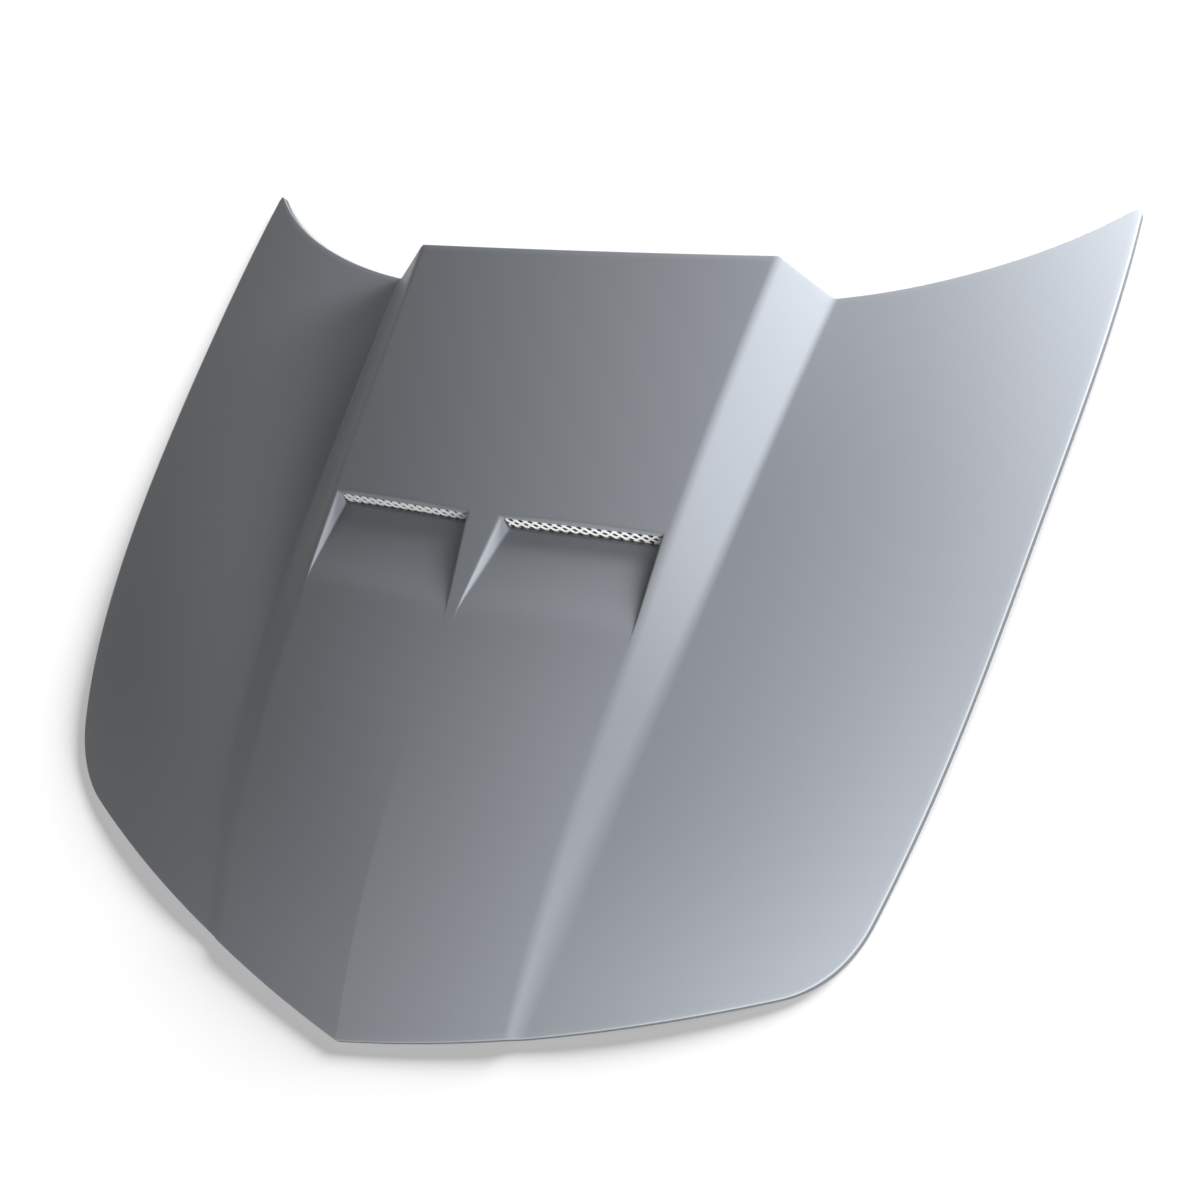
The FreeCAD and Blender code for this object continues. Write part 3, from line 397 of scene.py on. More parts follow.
def tangent_spline(points, first, last, count):
    """A chord-length cubic through points with given end headings."""
    points = np.array(points, float)
    chord = lengths(points)
    n = len(points)
    system, right = np.zeros((n, n)), np.zeros((n, 2))
    h = np.diff(chord)
    system[0, 0] = system[-1, -1] = 1.0
    right[0], right[-1] = heading(first), heading(last)
    for i in range(1, n - 1):
        system[i, i - 1:i + 2] = h[i], 2.0 * (h[i - 1] + h[i]), h[i - 1]
        right[i] = 3.0 * (h[i] * (points[i] - points[i - 1]) / h[i - 1]
                          + h[i - 1] * (points[i + 1] - points[i]) / h[i])
    slopes = np.linalg.solve(system, right)
    out = []
    for t in np.linspace(0.0, chord[-1], count):
        i = min(max(int(np.searchsorted(chord, t)) - 1, 0), n - 2)
        s = (t - chord[i]) / h[i]
        out.append((2 * s ** 3 - 3 * s ** 2 + 1) * points[i]
                   + (s ** 3 - 2 * s ** 2 + s) * h[i] * slopes[i]
                   + (3 * s ** 2 - 2 * s ** 3) * points[i + 1]
                   + (s ** 3 - s ** 2) * h[i] * slopes[i + 1])
    return np.array(out)


# Plan outline of the right half.
NOSE_ANGLE = 12.4
CORNER = np.array([603.0, 214.0])
CORNER_RADIUS = 176.0
CORNER_TURN = 47.8
SIDE_POINT = np.array([757.5, 842.0])
TIP = np.array([760.0, 1289.0])
TIP_RADIUS = 5.0
TIP_ANGLES = (94.0, 224.0)
REAR_POINT = np.array([559.0, 1165.0])
VALLEY_CORNER = np.array([387.0, 1121.0])
VALLEY_ANGLE = 188.0
CREST_CORNER = np.array([317.0, 1152.0])
REAR_CENTRE = 1145.0
# Steps of the arcs and points of the other parts, from the nose round to the rear.
NOSE_STEPS = 400
CORNER_STEPS = 160
SIDE_COUNT = 600
TIP_STEPS = 40
REAR_COUNT = 300
WALL_COUNT = 60
COWL_COUNT = 200


def outline_sides():
    """The front, outer and rear sides of the right half as dense lines with no inset."""
    turn = 2.0 * (math.degrees(math.atan2(CORNER[1], CORNER[0])) - NOSE_ANGLE)
    radius = math.hypot(*CORNER) / (2.0 * math.sin(math.radians(turn / 2.0)))
    front = arc_points(np.zeros(2), NOSE_ANGLE, radius, turn, NOSE_STEPS)
    corner = arc_points(CORNER, NOSE_ANGLE + turn, CORNER_RADIUS, CORNER_TURN, CORNER_STEPS)
    half = math.radians(180.0 - TIP_ANGLES[1] + TIP_ANGLES[0]) / 2.0
    tangent = TIP_RADIUS / math.tan(half)
    tip_start = TIP - heading(TIP_ANGLES[0]) * tangent
    tip_turn = TIP_ANGLES[1] - TIP_ANGLES[0]
    tip = arc_points(tip_start, TIP_ANGLES[0], TIP_RADIUS, tip_turn, TIP_STEPS)
    side = tangent_spline([corner[-1], SIDE_POINT, tip[0]], NOSE_ANGLE + turn + CORNER_TURN,
                          TIP_ANGLES[0], SIDE_COUNT)
    rear = tangent_spline([tip[-1], REAR_POINT, VALLEY_CORNER], TIP_ANGLES[1], VALLEY_ANGLE,
                          REAR_COUNT)
    shares = np.linspace(0.0, 1.0, WALL_COUNT)
    wall = np.array([lerp(VALLEY_CORNER, CREST_CORNER, share) for share in shares])
    rise = CREST_CORNER[1] - REAR_CENTRE
    cowl_turn = 2.0 * math.degrees(math.atan2(rise, CREST_CORNER[0]))
    cowl_radius = (CREST_CORNER[0] ** 2 + rise ** 2) / (2.0 * rise)
    along = np.radians(np.linspace(cowl_turn, 0.0, COWL_COUNT))
    cowl = np.stack([cowl_radius * np.sin(along),
                     REAR_CENTRE + cowl_radius * (1.0 - np.cos(along))], 1)
    # The sides meet half way round the corner and half way round the tip.
    corner_half, tip_half = CORNER_STEPS // 2, TIP_STEPS // 2
    front_side = np.concatenate([front, corner[1:corner_half + 1]])
    outer_side = np.concatenate([corner[corner_half:], side[1:], tip[1:tip_half + 1]])
    rear_side = np.concatenate([tip[tip_half:], rear[1:], wall[1:], cowl[1:]])
    return front_side, outer_side, rear_side


def inset_line(line, before, after, inset):
    """A line moved to its left, with its ends mitred against their neighbours."""
    ends = np.concatenate([[before], line, [after]])
    along = np.diff(ends, axis=0)
    along /= np.linalg.norm(along, axis=1)[:, None]
    left = np.stack([-along[:, 1], along[:, 0]], 1)
    a, b = left[:-1], left[1:]
    return line + (a + b) * (inset / (1.0 + (a * b).sum(1)))[:, None]


SIDES = outline_sides()


def sides_at(inset):
    """The three sides of the outline, moved inside by inset."""
    front, outer, rear = SIDES
    mirrored = front[1] * (-1.0, 1.0)
    return (inset_line(front, mirrored, outer[1], inset),
            inset_line(outer, front[-2], rear[1], inset),
            inset_line(rear, outer[-2], rear[-2] * (-1.0, 1.0), inset))


def spread(first, last, count, start=0):
    """Even shares from first to last, both ends included unless start is 1."""
    return list(np.linspace(first, last, count + 1)[start:])


# Rows are (key line, share of the way to the next) from the front edge to the rear one.
# The key lines are the front edge, the inlets' front, the foot of the mesh plane, the lip
# band's lower edge, the lip and the rear edge.
ROWS = ([(0, s) for s in spread(0.0, 1.0, 66)]
        + [(1, s) for s in spread(0.0, 1.0, 30, 1)]
        + [(2, s) for s in spread(0.0, 1.0, 3, 1)]
        + [(3, s) for s in spread(0.0, 1.0, 4, 1)]
        + [(4, s) for s in (0.003, 0.006, 0.012, 0.022)]
        + [(4, s) for s in spread(0.035, 1.0, 44)])
SLOT_ROWS = [i for i, (key, s) in enumerate(ROWS) if (key == 1 and s == 1.0) or key == 2]

# Columns between the centreline, the inlet's inner edge, its foot, the outer foot, the
# outer edge, the end of the crest blend, the wall's end and the end of the valley blend.
WALL_SHARES = (0.0, 0.12, 0.3, 0.5, 0.7, 0.88)
COLUMNS = ([(0, s) for s in (0.0, 0.08, 0.2, 0.4, 0.6, 0.8, 0.92)]
           + [(1, s) for s in WALL_SHARES]
           + [(2, s) for s in (0.0, 0.004, 0.009, 0.02)]
           + [(2, s) for s in spread(0.045, 0.955, 30)]
           + [(2, s) for s in (0.98, 0.991, 0.996)]
           + [(3, s) for s in WALL_SHARES]
           + [(4, s) for s in spread(0.0, 1.0, 12)[:-1]]
           + [(5, s) for s in spread(0.0, 1.0, 7)[:-1]]
           + [(6, s) for s in spread(0.0, 1.0, 12)])
SLOT_COLUMNS = [i for i, (key, s) in enumerate(COLUMNS) if key == 2 or (key, s) == (3, 0.0)]
PANEL_COLUMNS = 46
# Away from the inlets their outer columns spread out: from this distance, over this run
# and by this much at most, but stay this far inside the crest blend's start and end.
SPREAD_START = 30.0
SPREAD_RUN = 120.0
SPREAD_MOST = 40.0
CREST_START_GAP = 1.0
CREST_END_GAP = 5.0
# Least width of a wall's foot and least gap between two columns.
FOOT_LEAST = 2.5
COLUMN_GAP = 2.0
# On the lower sheet the inlets' lines lie further out and rearward, by this share of the
# way that the wall moves them, and the foot of the mesh plane by this share of that.
BEYOND_SHARE = 0.9
FOOT_BEYOND_SHARE = 0.3
# The rows' first guess runs evenly from the nose to this station.
GUESS_REAR = 1140.0


def recess_depth(y, side, grow):
    """Depth of the recess at a wall's foot, for a station beside that wall."""
    front, lip = INLET_FRONT[side][1], INLET_LIP[side][1]
    depth = np.zeros_like(y)
    for _ in range(FLOOR_ROUNDS):
        share = np.clip((y + depth * LEAN_RUN - front) / (lip - front), 0.0, 1.0)
        depth = INLET.fade(share, grow) * INLET_DEPTH[side]
    behind = np.clip((lip - y) / LEAN_RUN, 0.0, None)
    return np.where(y > lip - INLET_DEPTH[side] * LEAN_RUN, behind, depth)


def key_columns(y, grow):
    """x of each key column at the stations y."""
    px = section_at(y)["x"]
    moved = grow * math.hypot(1.0, SIDE_FLARE)
    lines = []
    for side in (0, 1):
        front, lip = INLET_FRONT[side], INLET_LIP[side]
        share = np.clip((y - front[1]) / (lip[1] - front[1]), 0.0, 1.0)
        lines.append(lerp(front[0], lip[0], share))
    inner, outer = lines
    distance = np.maximum(INLET_FRONT[1][1] - y, y - INLET_LIP[1][1])
    away = np.clip((distance - SPREAD_START) / SPREAD_RUN, 0.0, 1.0)
    outer = lerp(outer, np.minimum(px[0], outer + SPREAD_MOST) - CREST_START_GAP, away)
    outer = np.minimum(outer, px[2] - CREST_END_GAP)
    foot_in = np.maximum(recess_depth(y, 0, grow) * SIDE_FLARE, FOOT_LEAST)
    foot_out = np.maximum(recess_depth(y, 1, grow) * SIDE_FLARE, FOOT_LEAST)
    return [np.zeros_like(y), inner - moved * BEYOND_SHARE, inner + foot_in - moved,
            outer - foot_out + moved, outer + moved * BEYOND_SHARE,
            np.maximum(px[2], outer + moved + COLUMN_GAP), px[3], px[5]]


def key_rows(x, front, rear, grow):
    """y of each key row at the side distances x."""
    across = across_share(x)
    start = lerp(INLET_FRONT[0][1], INLET_FRONT[1][1], across)
    lip = lerp(INLET_LIP[0][1], INLET_LIP[1][1], across)
    depth = lerp(INLET_DEPTH[0], INLET_DEPTH[1], across)
    back = grow / math.cos(MESH_LEAN) * BEYOND_SHARE
    return [np.interp(x, *front.T), start, lip - depth * LEAN_RUN + back * FOOT_BEYOND_SHARE,
            lip - LIP_BAND * LEAN_RUN + back, lip + back, np.interp(x, *rear[::-1].T)]


def plan_grid(inset, grow):
    """Plan positions of the right half's grid, rows by columns."""
    front, outer, rear = sides_at(inset)
    rows, columns = len(ROWS), len(COLUMNS)
    row_key = np.array([k for k, _ in ROWS])
    row_share = np.array([s for _, s in ROWS])
    col_key = np.array([k for k, _ in COLUMNS])
    col_share = np.array([s for _, s in COLUMNS])
    y = np.tile(np.linspace(0.0, GUESS_REAR, rows)[:, None], (1, columns))
    ii, jj = np.indices(y.shape)
    for _ in range(GRID_ROUNDS):
        keys = np.array(key_columns(y, grow))
        keys = np.concatenate([keys, keys[-1:]])
        x = lerp(keys[col_key[jj], ii, jj], keys[col_key[jj] + 1, ii, jj], col_share[jj])
        keys = np.array(key_rows(x, front, rear, grow))
        y = lerp(keys[row_key[ii], ii, jj], keys[row_key[ii] + 1, ii, jj], row_share[ii])
    cowl = np.stack([x, y], 2)

    # The side panel is a patch between the cowl's last column and the outline.
    inner = cowl[:, -1]
    shares = np.linspace(0.0, 1.0, PANEL_COLUMNS + 1)
    start = length_at(front, inner[0, 0])
    front_side = points_along(front, lerp(start, lengths(front)[-1], shares))
    rear_back = rear[::-1]
    start = length_at(rear_back, inner[-1, 0])
    rear_side = points_along(rear_back, lerp(start, lengths(rear_back)[-1], shares))
    rearward = lengths(inner) / lengths(inner)[-1]
    outer_side = points_along(outer, rearward * lengths(outer)[-1])
    u = shares[None, :, None]
    v = rearward[:, None, None]
    patch = ((1 - v) * front_side[None] + v * rear_side[None] + (1 - u) * inner[:, None]
             + u * outer_side[:, None]
             - (1 - u) * (1 - v) * inner[0] - u * (1 - v) * front_side[-1]
             - (1 - u) * v * inner[-1] - u * v * rear_side[-1])
    return np.concatenate([cowl, patch[:, 1:]], 1)


def full(grid):
    """Both halves of a grid of points: mirrored columns first."""
    mirror = np.array([-1.0, 1.0, 1.0][:grid.shape[2]])
    return np.concatenate([grid[:, :0:-1] * mirror, grid], 1)


def sheet(inset, grow, drop):
    """Points of the upper or lower sheet of the skin."""
    plan = plan_grid(inset, grow)
    height = INLET.height(plan[..., 0], plan[..., 1], drop)
    return full(np.dstack([plan, height]))


def to_frame(points):
    """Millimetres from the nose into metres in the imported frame."""
    points = np.asarray(points, float)
    return (points - (0.0, REST_MIDDLE, REST_HEIGHT)) / 1000.0


def mesh_object(name, points, faces, smooth=True):
    """An object from points in metres and faces."""
    mesh = bpy.data.meshes.new(name)
    mesh.from_pydata([tuple(p) for p in points], [], faces)
    mesh.validate()
    mesh.update()
    mesh.polygons.foreach_set("use_smooth", [smooth] * len(mesh.polygons))
    thing = bpy.data.objects.new(name, mesh)
    bpy.context.scene.collection.objects.link(thing)
    return thing


def rim_rings(edge, upper, lower):
    """Rings of points from the upper sheet's border round the turned-down edge."""
    height = surface(edge[:, 0], edge[:, 1])
    bottom = surface(edge[:, 0], edge[:, 1], FLANGE_DEPTH)
    inward = (upper[:, :2] - edge) / RIM_RADIUS
    rings = []
    for degrees in RIM_ANGLES:
        a = math.radians(degrees)
        spot = edge + inward * RIM_RADIUS * (1.0 - math.sin(a))
        z = lerp(upper[:, 2], height, math.sin(a)) - RIM_RADIUS * (1.0 - math.cos(a))
        rings.append(np.column_stack([spot, z]))
    rounded = rings[-1][:, 2]
    for share in (0.5, 1.0):
        z = lerp(rounded, bottom + RIM_LOW_RADIUS, share)
        rings.append(np.column_stack([edge, z]))
    for degrees in RIM_LOW_ANGLES:
        a = math.radians(degrees)
        spot = edge + inward * RIM_LOW_RADIUS * (1.0 - math.cos(a))
        rings.append(np.column_stack([spot, bottom + RIM_LOW_RADIUS * (1.0 - math.sin(a))]))
    spot = lerp(edge, lower[:, :2], RIM_FACE_SHARE)
    rings.append(np.column_stack([spot, bottom]))
    rings.append(np.column_stack([lower[:, :2], bottom + RIM_FACE_LIFT]))
    return rings


def build_skin():
    """An upper and a lower sheet, joined round the edge and round both slots."""
    top = sheet(RIM_RADIUS, 0.0, 0.0)
    low = sheet(SKIN_WALL, SKIN_WALL, SKIN_WALL)
    rows, columns = top.shape[:2]
    middle = (columns - 1) // 2
    slot_low, slot_high = SLOT_ROWS[0], SLOT_ROWS[-1]
    slot_in, slot_out = SLOT_COLUMNS[0], SLOT_COLUMNS[-1]

    # The slot's rim on the lower sheet lies straight behind the one on the upper sheet.
    for side in (-1, 1):
        normal = INLET.normal * (side, 1.0, 1.0)
        for i in range(slot_low, slot_high + 1):
            for j in range(slot_in, slot_out + 1):
                column = middle + side * j
                low[i, column] = top[i, column] + normal * SKIN_WALL

    faces = []

    def number(layer, i, j):
        return layer * rows * columns + i * columns + j

    hole = set()
    for side in (-1, 1):
        for i in range(slot_low, slot_high):
            for j in range(slot_in, slot_out):
                hole.add((i, middle + j if side > 0 else middle - j - 1))
    for i in range(rows - 1):
        for j in range(columns - 1):
            if (i, j) in hole:
                continue
            corners = ((i, j), (i, j + 1), (i + 1, j + 1), (i + 1, j))
            faces.append(tuple(number(0, *corner) for corner in corners))
            faces.append(tuple(number(1, *corner) for corner in reversed(corners)))
    for i, j in hole:
        corners = ((i, j), (i, j + 1), (i + 1, j + 1), (i + 1, j))
        beyond = ((i - 1, j), (i, j + 1), (i + 1, j), (i, j - 1))
        for k in range(4):
            if beyond[k] not in hole:
                a, b = corners[k], corners[(k + 1) % 4]
                faces.append((number(0, *a), number(0, *b), number(1, *b), number(1, *a)))

    loop = ([(0, j) for j in range(columns)] + [(i, columns - 1) for i in range(1, rows)]
            + [(rows - 1, j) for j in range(columns - 2, -1, -1)]
            + [(i, 0) for i in range(rows - 2, 0, -1)])
    loop_rows, loop_columns = np.array(loop).T
    edge = full(plan_grid(0.0, 0.0))[loop_rows, loop_columns]
    profile = rim_rings(edge, top[loop_rows, loop_columns], low[loop_rows, loop_columns])
    first = number(2, 0, 0)
    count = len(loop)
    rings = [[number(0, i, j) for i, j in loop]]
    rings += [[first + k * count + m for m in range(count)] for k in range(len(profile))]
    rings.append([number(1, i, j) for i, j in loop])
    for outer_ring, inner_ring in zip(rings, rings[1:]):
        for m in range(count):
            n = (m + 1) % count
            faces.append((outer_ring[n], outer_ring[m], inner_ring[m], inner_ring[n]))
    points = np.concatenate([top.reshape(-1, 3), low.reshape(-1, 3), *profile])
    strip_points, strip_faces = seat_strips()
    faces += [tuple(k + len(points) for k in face) for face in strip_faces]
    thing = mesh_object("skin", to_frame(np.concatenate([points, strip_points])), faces)

    # The turned-down edge and the lower side have the second material: a dark grey that paints
    # shade onto the turned-down flange and colours the lower side alike.
    rounded = range(first, first + len(RIM_ANGLES) * count)
    for polygon in thing.data.polygons:
        corners = polygon.vertices
        upper = any(k < number(1, 0, 0) for k in corners)
        outside = upper or all(k in rounded for k in corners)
        polygon.material_index = 0 if outside else 1
    return thing


def seat_strips():
    """The flange round each slot, on which its mesh panel seats: points and faces."""
    tilt = math.cos(MESH_LEAN)
    length = np.linalg.norm(INLET.outer - INLET.inner)
    low = [-depth / tilt - SEAT_GAP for depth in INLET_DEPTH]
    under = [-(depth + SEAT_REACH) / tilt for depth in INLET_DEPTH]
    foot = [SIDE_FLARE * depth for depth in INLET_DEPTH]
    left, right = foot[0] - SEAT_REACH, length - foot[1] + SEAT_REACH
    top_out = SEAT_TOP_DEPTH * SIDE_FLARE - SEAT_REACH
    strips = [
        [(left, under[0]), (right, under[1]), (right, low[1]), (left, low[0])],
        [(left, low[0]), (foot[0] - SEAT_GAP, low[0]), (SEAT_CORNER, SEAT_TOP),
         (top_out, SEAT_TOP)],
        [(length - foot[1] + SEAT_GAP, low[1]), (right, low[1]), (length - top_out, SEAT_TOP),
         (length - SEAT_CORNER, SEAT_TOP)],
    ]
    quads = [(0, 1, 2, 3), (7, 6, 5, 4)]
    quads += [(i, i + 4, (i + 1) % 4 + 4, (i + 1) % 4) for i in range(4)]
    points, faces = [], []
    for side in (-1, 1):
        for strip in strips:
            base = len(points)
            for back in (SEAT_GAP, SKIN_WALL - SEAT_SKIM):
                for a, b in strip:
                    points.append(INLET.place(a, b, back) * (side, 1.0, 1.0))
            for quad in quads:
                turned = quad if side < 0 else quad[::-1]
                faces.append(tuple(base + k for k in turned))
    return points, faces


def mesh_panel(name, side):
    """Expanded mesh: twisted strands round staggered diamonds, up to the panel's edges."""
    tilt = math.cos(MESH_LEAN)
    length = np.linalg.norm(INLET.outer - INLET.inner)
    low = [-(depth + MESH_SEAT) / tilt for depth in INLET_DEPTH]
    top = -MESH_TOP / tilt
    grow = [MESH_SEAT - SIDE_FLARE * depth for depth in INLET_DEPTH]
    high_grow = MESH_SEAT - SIDE_FLARE * MESH_TOP

    def clamp(a, b):
        """The nearest place inside the panel's outline."""
        a = min(max(a, -high_grow), length + high_grow)
        b = min(max(b, lerp(low[0], low[1], a / length)), top)
        share = (top - b) / (top - low[0])
        a = min(max(a, -lerp(high_grow, grow[0], share)), length + lerp(high_grow, grow[1], share))
        return a, b

    strand = MESH_STRAND[side]
    # The opening's size as a share of its diamond's: half a strand lies on each side.
    middle_to_side = MESH_LONG * MESH_SHORT / math.hypot(MESH_LONG, MESH_SHORT)
    shrink = 1.0 - strand / 2.0 / middle_to_side
    # A few more rows and columns than fit are tried, and those outside are dropped.
    start = -grow[0]
    first = low[0] + MESH_FIRST_ROW
    rows = int((top - first) / MESH_SHORT) + 3
    columns = int((length + 2.0 * high_grow) / MESH_LONG) + 4
    # The corners of a diamond: places along and up, and which way the strand turns.
    ends = ((-1, 0, 0.0), (0, -1, 1.0), (1, 0, 0.0), (0, 1, -1.0))
    mesh = bmesh.new()
    for row in range(-1, rows):
        b = first + (row + 1) * MESH_SHORT
        for column in range(-2, columns):
            if (row + column) % 2:
                continue
            a = start + (column + 0.5) * MESH_LONG
            if clamp(a, b) != (a, b) and not (top < b < top + MESH_SHORT):
                continue
            rings = []
            for scale, twist in ((1.0, 0.0), (shrink, MESH_TWIST)):
                for half in (-MESH_HALF, MESH_HALF):
                    ring = []
                    for along, rise, turn in ends:
                        pa, pb = clamp(a + along * scale * MESH_LONG,
                                       b + rise * scale * MESH_SHORT)
                        spot = INLET.place(pa, pb, MESH_PLACE + half - turn * twist)
                        ring.append(mesh.verts.new(to_frame(spot * (side, 1.0, 1.0))))
                    rings.append(ring)
            near_out, far_out, near_in, far_in = rings
            for i in range(4):
                j = (i + 1) % 4
                quads = ((near_out[i], near_out[j], near_in[j], near_in[i]),
                         (far_out[j], far_out[i], far_in[i], far_in[j]),
                         (near_in[i], near_in[j], far_in[j], far_in[i]))
                for quad in quads:
                    mesh.faces.new(quad if side < 0 else quad[::-1])
    bmesh.ops.remove_doubles(mesh, verts=mesh.verts, dist=MESH_MERGE)
    bmesh.ops.dissolve_degenerate(mesh, edges=mesh.edges, dist=MESH_MERGE)
    bmesh.ops.recalc_face_normals(mesh, faces=mesh.faces)
    data = bpy.data.meshes.new(name)
    mesh.to_mesh(data)
    mesh.free()
    thing = bpy.data.objects.new(name, data)
    bpy.context.scene.collection.objects.link(thing)
    return thing


def noise(nodes, links, coords, scale, detail):
    """A noise pattern that stays on the object."""
    node = nodes.new("ShaderNodeTexNoise")
    node.inputs["Scale"].default_value = scale
    node.inputs["Detail"].default_value = detail
    links.new(coords.outputs["Object"], node.inputs["Vector"])
    return node


# The broad clouds of the tint, and the detail of the fine grain.
BROAD_SCALE = 3.0
BROAD_DETAIL = 3.0
GRAIN_DETAIL = 5.0


def painted(name, colour, shade, metallic, roughness, wander, grain, bump, distance):
    """A procedural finish: the tint wanders by shade and the roughness by wander, and the
    grain of that scale is raised."""
    material = bpy.data.materials.new(name)
    material.use_nodes = True
    nodes, links = material.node_tree.nodes, material.node_tree.links
    shader = nodes["Principled BSDF"]
    coords = nodes.new("ShaderNodeTexCoord")
    broad = noise(nodes, links, coords, BROAD_SCALE, BROAD_DETAIL)
    fine = noise(nodes, links, coords, grain, GRAIN_DETAIL)
    tint = nodes.new("ShaderNodeMix")
    tint.data_type = "RGBA"
    tint.inputs["A"].default_value = (*[c * (1.0 - shade) for c in colour], 1.0)
    tint.inputs["B"].default_value = (*[c * (1.0 + shade) for c in colour], 1.0)
    links.new(broad.outputs["Fac"], tint.inputs["Factor"])
    links.new(tint.outputs["Result"], shader.inputs["Base Color"])
    gloss = nodes.new("ShaderNodeMapRange")
    gloss.inputs["To Min"].default_value = roughness - wander
    gloss.inputs["To Max"].default_value = roughness + wander
    links.new(fine.outputs["Fac"], gloss.inputs["Value"])
    links.new(gloss.outputs["Result"], shader.inputs["Roughness"])
    raised = nodes.new("ShaderNodeBump")
    raised.inputs["Strength"].default_value = bump
    raised.inputs["Distance"].default_value = distance
    links.new(fine.outputs["Fac"], raised.inputs["Height"])
    links.new(raised.outputs["Normal"], shader.inputs["Normal"])
    shader.inputs["Metallic"].default_value = metallic
    return material


GELCOAT = painted("gelcoat", (0.238, 0.254, 0.28), shade=0.015, metallic=0.0,
                  roughness=0.42, wander=0.03, grain=900.0, bump=0.06, distance=0.0004)
# Painted shade: a dark grey that darkens the turned-down flange as if it lay in shade, and that
# the lower side gets too.
UNDERSIDE_AND_PAINTED_EDGE_SHADE = painted("underside_and_painted_edge_shade", (0.075, 0.08, 0.087), shade=0.08, metallic=0.0,
                    roughness=0.55, wander=0.06, grain=420.0, bump=0.18, distance=0.0005)
MOULDING = painted("moulding", (0.045, 0.047, 0.05), shade=0.12, metallic=0.0,
                   roughness=0.62, wander=0.08, grain=260.0, bump=0.25, distance=0.0006)
BRIGHT = painted("bright_mesh", (0.97, 0.97, 0.96), shade=0.02, metallic=0.1,
                 roughness=0.34, wander=0.08, grain=700.0, bump=0.1, distance=0.0002)
ZINC = painted("zinc", (0.62, 0.61, 0.58), shade=0.06, metallic=1.0,
               roughness=0.38, wander=0.1, grain=420.0, bump=0.15, distance=0.0003)

skin = build_skin()
skin.data.materials.append(GELCOAT)
skin.data.materials.append(UNDERSIDE_AND_PAINTED_EDGE_SHADE)
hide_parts("outer_skin")
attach(skin, "root")

for side, name in ((1, "left"), (-1, "right")):
    panel = mesh_panel(name + "_mesh", side)
    panel.data.materials.append(BRIGHT)
    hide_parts(name + "_inlet_mesh")
    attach(panel, "root")

FINISHES = {
    "inner_frame": MOULDING,
    "left_hinge_plate": ZINC,
    "right_hinge_plate": ZINC,
    "latch_plate": ZINC,
    "hinge_nuts": ZINC,
    "latch_nuts": ZINC,
}
for node, finish in FINISHES.items():
    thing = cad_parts[node]
    thing.data.materials.clear()
    thing.data.materials.append(finish)


def seen_white(nodes, links):
    """1 for camera, glossy and transmission rays, which see the white background."""
    path = nodes.new("ShaderNodeLightPath")
    result = path.outputs["Is Camera Ray"]
    for kind in ("Is Glossy Ray", "Is Transmission Ray"):
        either = nodes.new("ShaderNodeMath")
        either.operation = "MAXIMUM"
        links.new(result, either.inputs[0])
        links.new(path.outputs[kind], either.inputs[1])
        result = either.outputs[0]
    return result


FLOOR_HALF = 30.0
FLOOR_COLOUR = (0.86, 0.86, 0.86, 1.0)
FLOOR_ROUGHNESS = 0.9


def add_stage():
    """A wide pale floor under the bonnet."""
    corners = [(-FLOOR_HALF, -FLOOR_HALF, 0.0), (FLOOR_HALF, -FLOOR_HALF, 0.0),
               (FLOOR_HALF, FLOOR_HALF, 0.0), (-FLOOR_HALF, FLOOR_HALF, 0.0)]
    floor = mesh_object("floor", corners, [(0, 1, 2, 3)], smooth=False)
    material = bpy.data.materials.new("floor")
    material.use_nodes = True
    shader = material.node_tree.nodes["Principled BSDF"]
    shader.inputs["Base Color"].default_value = FLOOR_COLOUR
    shader.inputs["Roughness"].default_value = FLOOR_ROUGHNESS
    shader.inputs["Specular IOR Level"].default_value = 0.0
    floor.data.materials.append(material)
    floor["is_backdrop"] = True
    return floor


def add_world():
    """A white background that gives no light of its own: the lamps do that."""
    world = bpy.data.worlds.new("studio")
    bpy.context.scene.world = world
    world.use_nodes = True
    nodes, links = world.node_tree.nodes, world.node_tree.links
    light = nodes["Background"]
    light.inputs["Strength"].default_value = 0.0
    white = nodes.new("ShaderNodeBackground")
    white.inputs["Color"].default_value = (1.0, 1.0, 1.0, 1.0)
    mix = nodes.new("ShaderNodeMixShader")
    links.new(seen_white(nodes, links), mix.inputs[0])
    links.new(light.outputs[0], mix.inputs[1])
    links.new(white.outputs[0], mix.inputs[2])
    links.new(mix.outputs[0], nodes["World Output"].inputs["Surface"])


def add_lamp(data, lit, place, aim):
    """A lamp for the things in the collection lit, set at place and turned to aim."""
    lamp = bpy.data.objects.new(data.name, data)
    bpy.context.scene.collection.objects.link(lamp)
    lamp.location = place
    lamp.rotation_mode = "QUATERNION"
    lamp.rotation_quaternion = (Vector(aim) - Vector(place)).to_track_quat("-Z", "Y")
    lamp.visible_camera = False
    lamp.visible_glossy = False
    lamp.light_linking.receiver_collection = lit


def add_softbox(lit, name, place, aim, width, height, power):
    """A rectangular lamp."""
    data = bpy.data.lights.new(name, "AREA")
    data.shape = "RECTANGLE"
    data.size = width
    data.size_y = height
    data.energy = power
    add_lamp(data, lit, place, aim)


def add_floor_light(lit, name, place, strength, spread_angle):
    """An even light from the side of place, softened by its spread in degrees."""
    data = bpy.data.lights.new(name, "SUN")
    data.energy = strength
    data.angle = math.radians(spread_angle)
    add_lamp(data, lit, place, (0.0, 0.0, 0.0))


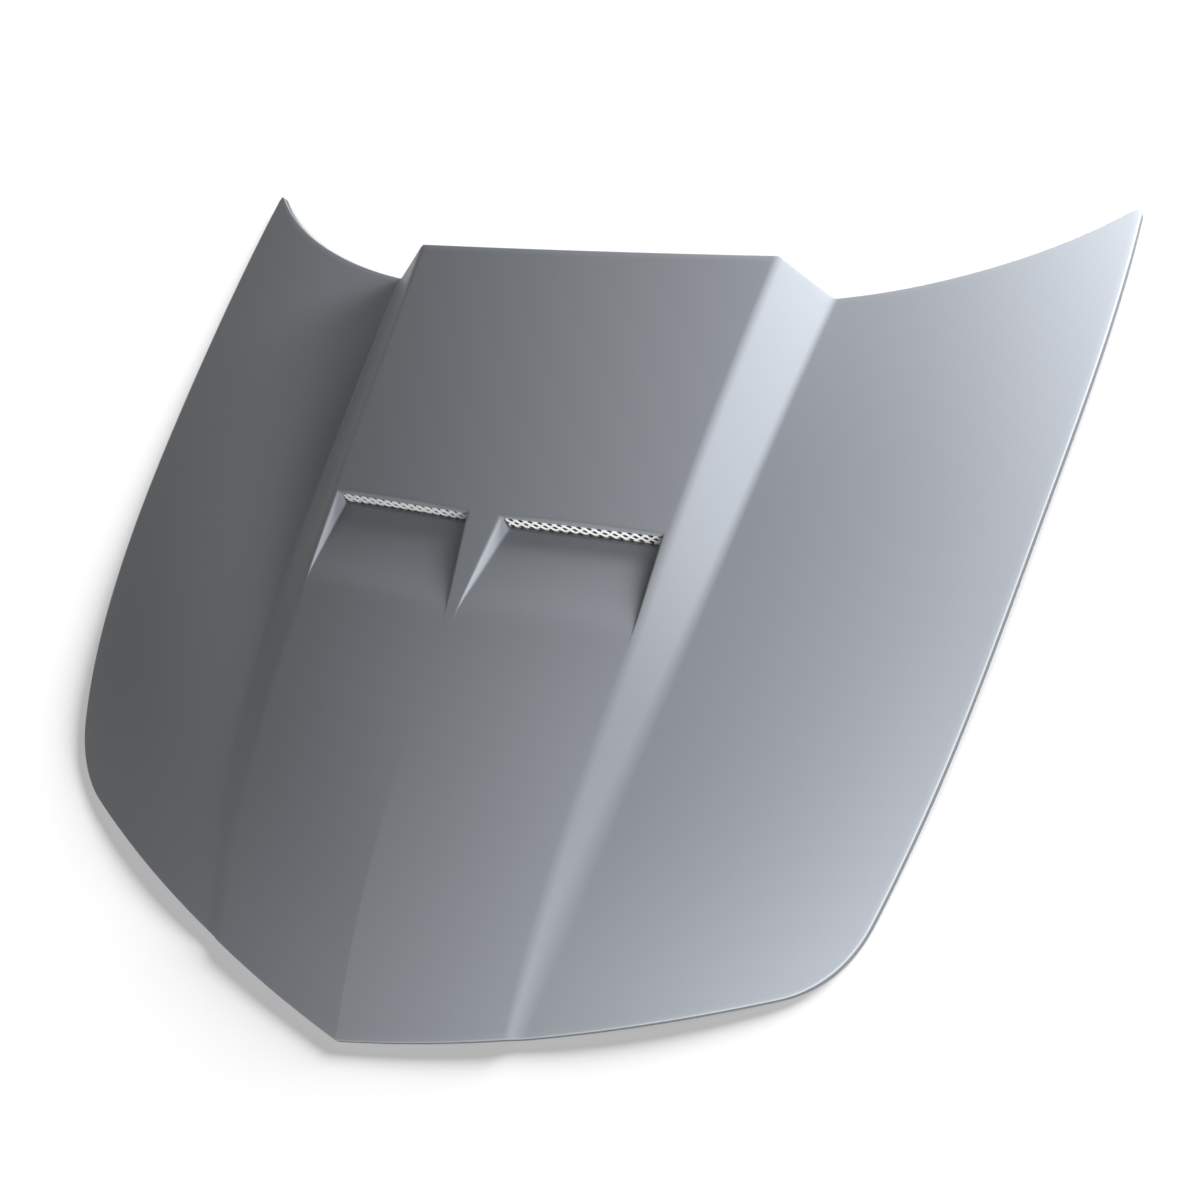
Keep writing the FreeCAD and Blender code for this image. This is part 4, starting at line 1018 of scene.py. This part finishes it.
# Softboxes on the bonnet alone: name, place, aim, width, height, power in watts.
MIDDLE = (0.0, 0.0, 0.05)
RIGHT_PANEL = (0.35, 0.25, 0.05)
LAMPS = [
    ("rear", (0.0, 3.39, 0.267), MIDDLE, 1.2, 0.5, 61.9),
    ("right_side", (1.674, 1.361, 0.274), RIGHT_PANEL, 0.8, 0.5, 46.4),
    ("right_rear", (1.15, 1.35, 0.35), RIGHT_PANEL, 0.8, 0.5, 33.6),
    ("right_front", (1.7, -0.6, 0.4), RIGHT_PANEL, 0.8, 0.5, 20.5),
    ("front", (1.172, -1.174, 0.6), RIGHT_PANEL, 0.8, 0.5, 22.7),
]
# Even lights on the floor alone: name, place, strength, spread in degrees. The low one
# behind the bonnet gives the soft shadow in front of it, and the high one fills it.
FLOOR_LIGHTS = [
    ("floor_behind", (5.5, 9.0, 3.0), 8.4, 26.0),
    ("floor_above", (3.0, -2.0, 8.0), 1.75, 30.0),
]


def linked(name, things):
    """A collection that only tells the lamps what to light."""
    group = bpy.data.collections.new(name)
    for thing in things:
        group.objects.link(thing)
    return group


floor = add_stage()
add_world()
bonnet = linked("bonnet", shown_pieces())
for lamp_row in LAMPS:
    add_softbox(bonnet, *lamp_row)
ground = linked("ground", [floor])
for light_row in FLOOR_LIGHTS:
    add_floor_light(ground, *light_row)

# The camera's place in metres, its turns about x, y and z in degrees, its lens and
# sensor width in millimetres, and the distances in metres between which it sees.
CAMERA_PLACE = (1.6508, -0.606474, 2.015632)
CAMERA_TURN = (26.1477, 29.6914, 21.8867)
CAMERA_LENS = 57.0
CAMERA_SENSOR = 36.0
CAMERA_RANGE = (0.05, 200.0)


def add_camera():
    """The photograph's viewing angle."""
    data = bpy.data.cameras.new("camera")
    data.lens = CAMERA_LENS
    data.sensor_width = CAMERA_SENSOR
    camera = bpy.data.objects.new("camera", data)
    bpy.context.scene.collection.objects.link(camera)
    camera.location = CAMERA_PLACE
    camera.rotation_euler = [math.radians(angle) for angle in CAMERA_TURN]
    data.clip_start, data.clip_end = CAMERA_RANGE
    bpy.context.scene.camera = camera


add_camera()
bpy.context.scene.view_settings.view_transform = "Standard"
bpy.context.view_layer.update()
